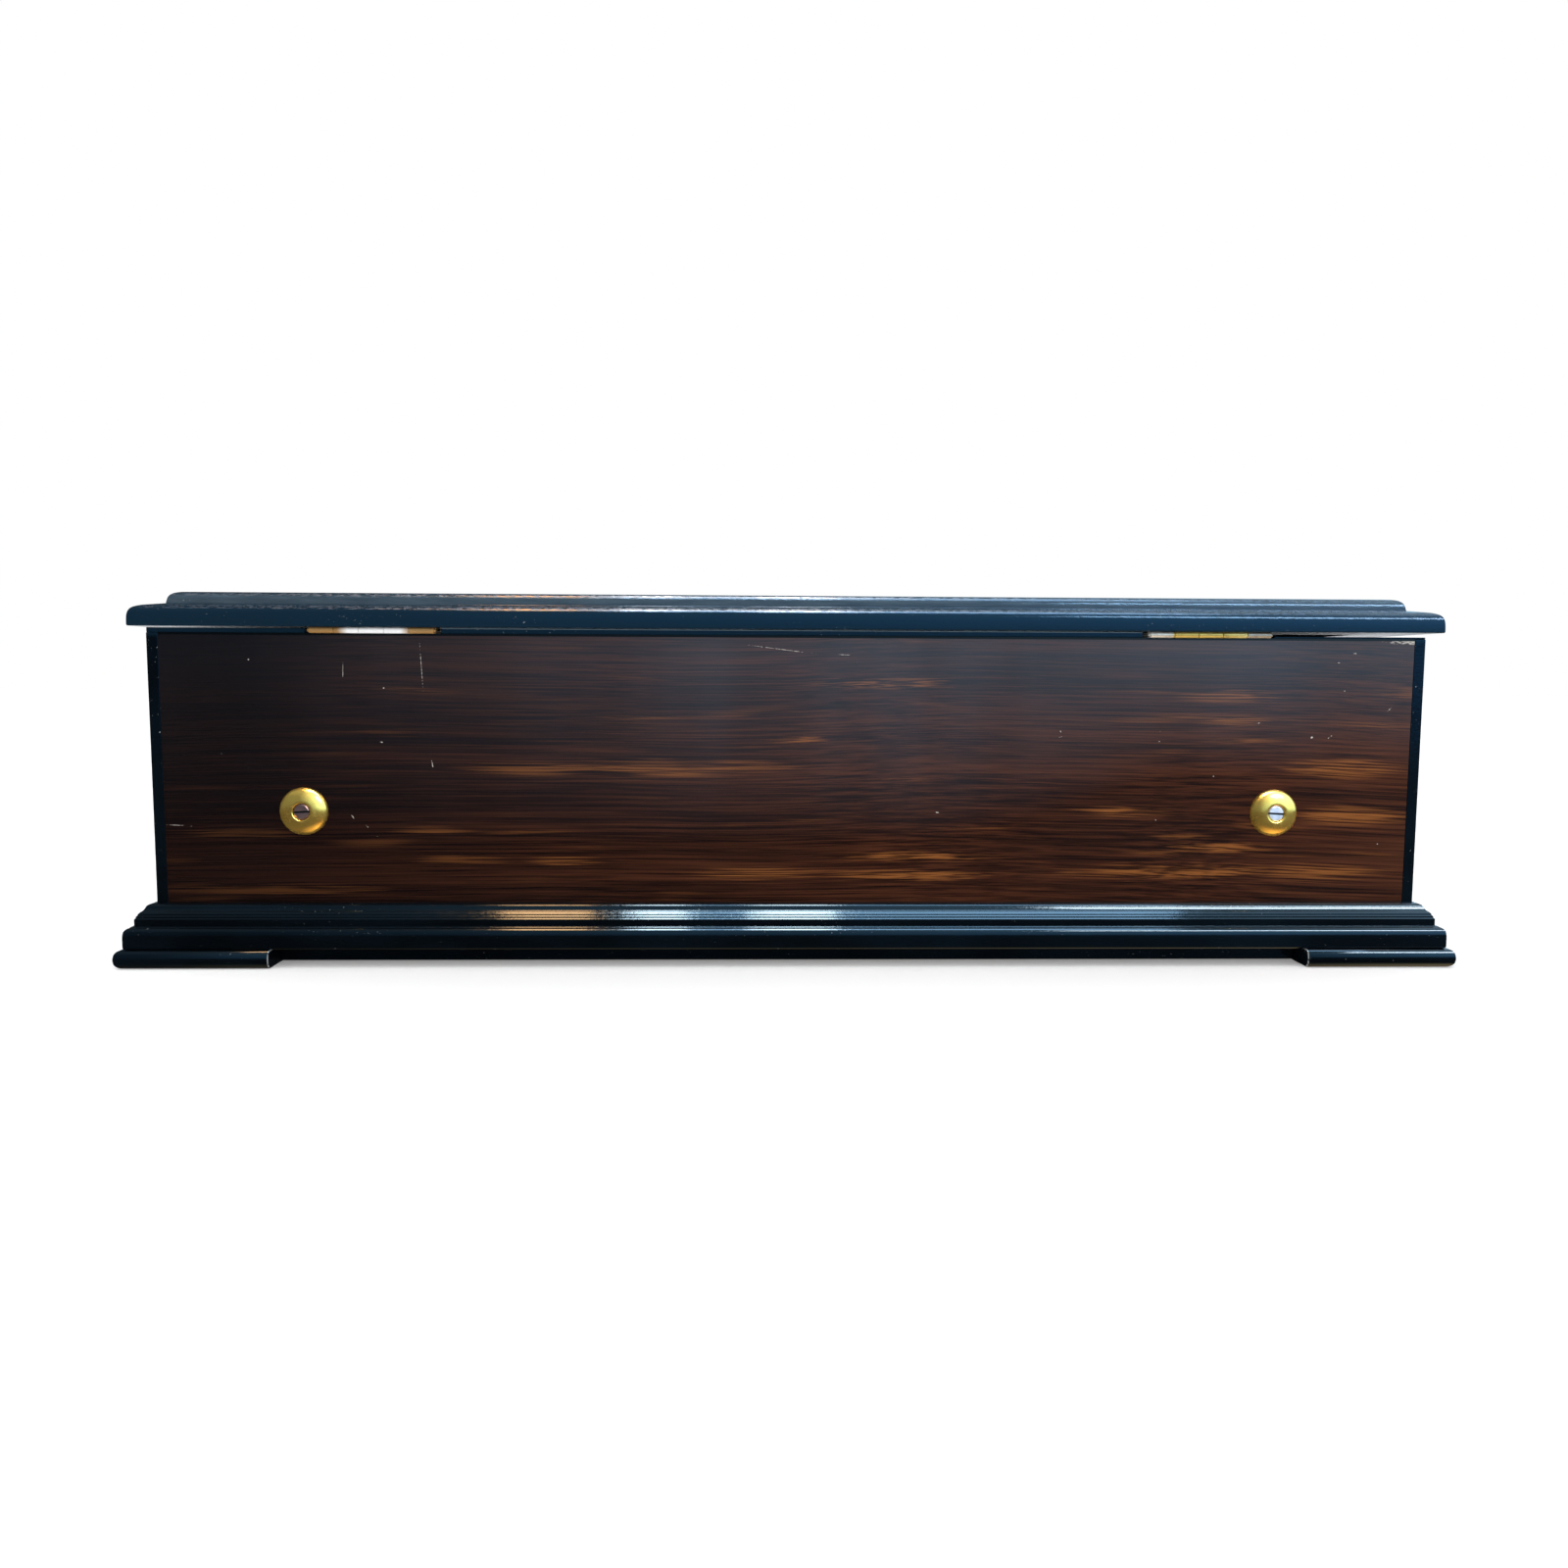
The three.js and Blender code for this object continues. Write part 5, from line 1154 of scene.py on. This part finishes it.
class MUSICBOX_OT_cylinder(bpy.types.Operator):
    """Builds the brass cylinder with the steel pins of its tunes"""

    bl_idname = "musicbox.cylinder"
    bl_label = "Pinned cylinder"

    def execute(self, context):
        low, high = box_of("cylinder")
        axis = ((low.y + high.y) / 2, (low.z + high.z) / 2)
        reach, length = (high.y - low.y) / 2, high.x - low.x
        self.tube(low.x, length, axis, reach - PIN_HEIGHT)
        self.pins(axis, reach)
        return {"FINISHED"}

    def tube(self, start, length, axis, skin):
        """The turned tube, with its end caps set in a little."""
        cap = [(CYLINDER_BORE, 0.6), (skin - 2.4, 0.6), (skin - 2.0, 0), (skin - 0.3, 0), (skin, 0.3)]
        tube = turned(alike_ends(cap, length), 160)
        laid(tube, "Y", 90, (start, *axis))
        brass = material_named(
            "brass_tube_turned_and_lacquered",
            polished_brass,
            tone=linear("#D6AE5C"),
            roughness=(0.22, 0.32),
            grain=(0.6, 60, 60),
        )
        finish_piece(tube, "pinned_cylinder_tube", brass, "cylinder", sharp=40)

    def pins(self, axis, reach):
        """The pins, each driven in where it plucks its own tooth of the comb."""
        comb_low, comb_high = box_of("comb")
        pitch = (comb_high.x - comb_low.x - 2 * COMB_MARGIN) / COMB_TEETH
        pin = bmesh.new()
        depth = PIN_HEIGHT + PIN_SUNK
        bmesh.ops.create_cone(
            pin, segments=6, radius1=0.26 * MM, radius2=0.2 * MM, depth=depth * MM, cap_ends=True
        )
        bmesh.ops.translate(pin, verts=pin.verts, vec=(0, 0, (reach - PIN_SUNK - depth / 2) * MM))
        shape = bpy.data.meshes.new("pin")
        pin.to_mesh(shape)
        pin.free()
        pins = bmesh.new()
        for tooth, turn, tune in pinned_pattern(random.Random(11)):
            x = comb_low.x + COMB_MARGIN + (tooth + 0.5 + (tune - 2.5) * 0.12) * pitch
            stand = Matrix.Translation(Vector((x, *axis)) * MM)
            here = shape.copy()
            here.transform(stand @ Matrix.Rotation(math.tau * turn, 4, "X"))
            pins.from_mesh(here)
            bpy.data.meshes.remove(here)
        bpy.data.meshes.remove(shape)
        steel = material_named(
            "steel_pin_drawn", polished_steel, tone="#9A9CA0", roughness=(0.3, 0.4)
        )
        finish_piece(pins, "cylinder_pins", steel, "cylinder", replaces=False)


class MUSICBOX_OT_comb_screws(bpy.types.Operator):
    """Builds the row of blued screws that clamp the comb to its block"""

    bl_idname = "musicbox.comb_screws"
    bl_label = "Comb screws"

    def execute(self, context):
        low, high = box_of("comb")
        step = (high.x - low.x) / COMB_SCREWS
        row = bmesh.new()
        for index in range(COMB_SCREWS):
            head = turned(COMB_SCREW_OUTLINE, 40)
            slotted(head, 0.8, 0.8, COMB_SCREW_TOP)
            place = (low.x + (index + 0.5) * step, low.y + COMB_SCREW_INSET, high.z)
            # Each slot stopped where its screw came tight
            laid(head, "Z", (index * 47) % 180, place)
            add_shape(row, head)
        blued = material_named("steel_blued", polished_steel, tone="#34456E", roughness=(0.16, 0.26))
        finish_piece(row, "comb_screw_row", blued, "comb", replaces=False)
        return {"FINISHED"}


def softbox(name, place, size, colour, radiance, aim=(0, 0.05, 0.1), mirrored=False):
    """A soft rectangular light that faces an aim and isn't seen by the camera. One that is mirrored
    only shines back from polished surfaces, as a studio's reflector does, and any other only lights."""
    data = bpy.data.lights.new(name, "AREA")
    data.shape = "RECTANGLE"
    data.size, data.size_y = size
    data.color = linear(colour)[:3]
    data.energy = math.pi * size[0] * size[1] * radiance
    lamp = bpy.data.objects.new(name, data)
    backwards = (Vector(place) - Vector(aim)).normalized()
    sideways = Vector((1, 0, 0)).cross(backwards).cross(backwards).normalized() * -1
    turn = Matrix((sideways, backwards.cross(sideways), backwards)).transposed().to_4x4()
    lamp.matrix_world = Matrix.Translation(place) @ turn
    lamp.visible_camera = False
    lamp.visible_diffuse = not mirrored
    lamp.visible_glossy = mirrored
    bpy.context.scene.collection.objects.link(lamp)


class MUSICBOX_OT_stage(bpy.types.Operator):
    """Sets the pale floor, the soft studio light and the camera"""

    bl_idname = "musicbox.stage"
    bl_label = "Stage"

    def execute(self, context):
        scene = context.scene
        scene.view_settings.view_transform = "Standard"
        self.lay_floor(scene)
        self.light_room(scene)
        self.hang_lights(scene.studio_setup.window_radiance)
        self.stand_camera(scene)
        return {"FINISHED"}

    def lay_floor(self, scene):
        """Lays a wide round of pale paper under the box."""
        bm = bmesh.new()
        bmesh.ops.create_circle(bm, cap_ends=True, segments=96, radius=12)
        mesh = bpy.data.meshes.new("studio_floor")
        bm.to_mesh(mesh)
        bm.free()
        floor = bpy.data.objects.new("studio_floor", mesh)
        scene.collection.objects.link(floor)
        mesh.materials.append(material_named("studio_paper_matt", studio_paper))
        floor.visible_glossy = False

    def light_room(self, scene):
        """Lights the box evenly from a pale room. What its polish mirrors is darker: warm paper close by,
        a dark distance, and from the horizon up a cool wall that grows brighter towards -X."""
        scene.world = bpy.data.worlds.new("studio")
        scene.world.use_nodes = True
        scene.world.node_tree.nodes.clear()
        add = functools.partial(add_node, scene.world.node_tree)
        x, y, z = add("SeparateXYZ", add("TexCoord").outputs["Generated"]).outputs
        stops = [
            (0.0, (0.95, 0.66, 0.34, 1)), (0.1, (0.7, 0.46, 0.22, 1)), (0.2, (0.02, 0.015, 0.012, 1)),
            (0.488, (0.04, 0.06, 0.08, 1)), (0.508, (0.35, 0.65, 0.9, 1)), (0.6, (0.6, 1.0, 1.35, 1)),
            (0.7, (0.8, 1.2, 1.5, 1)), (0.85, (1.1, 1.4, 1.6, 1)), (0.98, (1.0, 1.2, 1.3, 1)),
        ]
        wall = add("ValToRGB", add(EVEN, z, -1, 1), stops=stops)
        # It is brightest towards -X, and darker beyond the box than overhead
        side = add(TIMES, add(EVEN, x, -0.5, -0.05, 2.7, 1.0), add(SMOOTH, x, -0.05, 0.42, 1.0, 0.15))
        side = add(LARGER, side, add(SMOOTH, z, 0.25, 0.8, 0.0, 0.3))
        side = add(TIMES, side, add(SMOOTH, y, -0.75, 0.1, 0.3, 1.0))
        wall = add("VectorMath.SCALE", wall, side)
        # The pale paper behind the box
        beyond = add(SMOOTH, y, -0.92, -0.8, 1, 0)
        paper = add(TIMES, beyond, add(SMOOTH, add(SIZE, z), 0.06, 0.12, 1, 0))
        wall = add(MIXED, paper, wall, linear("#F0F3F6"))
        mirrored = add("LightPath").outputs["Is Glossy Ray"]
        seen = add(MIXED, mirrored, linear("#FFFFFF"), wall)
        lit = add(TIMES, add(MINUS, 1, mirrored), scene.studio_setup.room_light)
        add("OutputWorld", add("Background", seen, add(PLUS, mirrored, lit)))

    def hang_lights(self, bright):
        """Hangs two lights that shape the box, and over it the panes and the lamp that its edges mirror."""
        softbox("ceiling", (0, 0, 2.6), (3.0, 2.4), "#F2F7FF", 0.9)
        softbox("front_window", (0.9, -2.2, 1.3), (0.9, 1.2), "#F7FAFF", 1.6)
        overhead = [
            ("pane_left", 0.195, 0.1, (-0.8, 0.6), "#FFF0E4", 0.9),
            ("pane_right", -0.055, 0.15, (-0.8, 0.6), "#FFF0E4", 0.9),
            ("pane_wide", -0.27, 1.0, (-0.5, 0.6), "#C8DEF0", 0.2),
            ("pane_side", -1.3, 1.2, (1.35, 1.95), "#FFE0D2", 0.9),
            ("lamp_glow", 0.4, 0.16, (-0.5, 0.6), "#FFA868", 0.7),
        ]
        for name, x, width, (near, far), colour, share in overhead:
            place = Vector((x, (near + far) / 2, 1.6))
            below = place - Vector((0, 0, 1))
            softbox(name, place, (width, far - near), colour, bright * share, below, True)

    def stand_camera(self, scene):
        """Stands the camera behind the box, where the photographer stood."""
        studio = scene.studio_setup
        camera_data = bpy.data.cameras.new("photo_camera")
        camera_data.sensor_width = 36
        camera_data.lens = studio.camera_lens
        camera_data.clip_start, camera_data.clip_end = 0.01, 100
        camera = bpy.data.objects.new("photo_camera", camera_data)
        yaw, pitch, roll = studio.camera_turn
        ahead = Vector(
            (math.sin(yaw) * math.cos(pitch), -math.cos(yaw) * math.cos(pitch), -math.sin(pitch))
        )
        level = Vector((-math.cos(yaw), -math.sin(yaw), 0))
        upright = level.cross(ahead)
        right = math.cos(roll) * level + math.sin(roll) * upright
        up = math.cos(roll) * upright - math.sin(roll) * level
        turn = Matrix((right, up, -ahead)).transposed().to_4x4()
        camera.matrix_world = Matrix.Translation(studio.camera_place) @ turn
        scene.collection.objects.link(camera)
        scene.camera = camera


class MUSICBOX_PT_panel(bpy.types.Panel):
    """Lists the steps that build the music box"""

    bl_idname = "MUSICBOX_PT_panel"
    bl_label = "Music box"
    bl_space_type = "VIEW_3D"
    bl_region_type = "UI"
    bl_category = "Music box"

    def draw(self, context):
        for group in (context.scene.case_finish, context.scene.studio_setup):
            for name in group.__annotations__:
                self.layout.prop(group, name)
        for operator in OPERATORS:
            self.layout.operator(operator.bl_idname)


GROUPS = (CaseFinish, StudioSetup)
OPERATORS = (
    MUSICBOX_OT_stage,
    MUSICBOX_OT_veneer,
    MUSICBOX_OT_corner_strips,
    MUSICBOX_OT_base_moulding,
    MUSICBOX_OT_edging,
    MUSICBOX_OT_feet,
    MUSICBOX_OT_lid_moulding,
    MUSICBOX_OT_hinges,
    MUSICBOX_OT_escutcheon,
    MUSICBOX_OT_case_screws,
    MUSICBOX_OT_movement,
    MUSICBOX_OT_cylinder,
    MUSICBOX_OT_comb_screws,
)


def register():
    for made in (*GROUPS, *OPERATORS, MUSICBOX_PT_panel):
        bpy.utils.register_class(made)
    bpy.types.Scene.case_finish = bpy.props.PointerProperty(type=CaseFinish)
    bpy.types.Scene.studio_setup = bpy.props.PointerProperty(type=StudioSetup)


def unregister():
    del bpy.types.Scene.studio_setup
    del bpy.types.Scene.case_finish
    for made in (MUSICBOX_PT_panel, *reversed(OPERATORS), *reversed(GROUPS)):
        bpy.utils.unregister_class(made)


def main():
    register()
    bpy.ops.musicbox.stage()
    bpy.ops.musicbox.veneer()
    bpy.ops.musicbox.corner_strips()
    bpy.ops.musicbox.base_moulding()
    bpy.ops.musicbox.edging()
    bpy.ops.musicbox.feet()
    bpy.ops.musicbox.lid_moulding()
    bpy.ops.musicbox.hinges()
    bpy.ops.musicbox.escutcheon()
    bpy.ops.musicbox.case_screws()
    bpy.ops.musicbox.movement()
    bpy.ops.musicbox.cylinder()
    bpy.ops.musicbox.comb_screws()


if __name__ == "__main__":
    main()
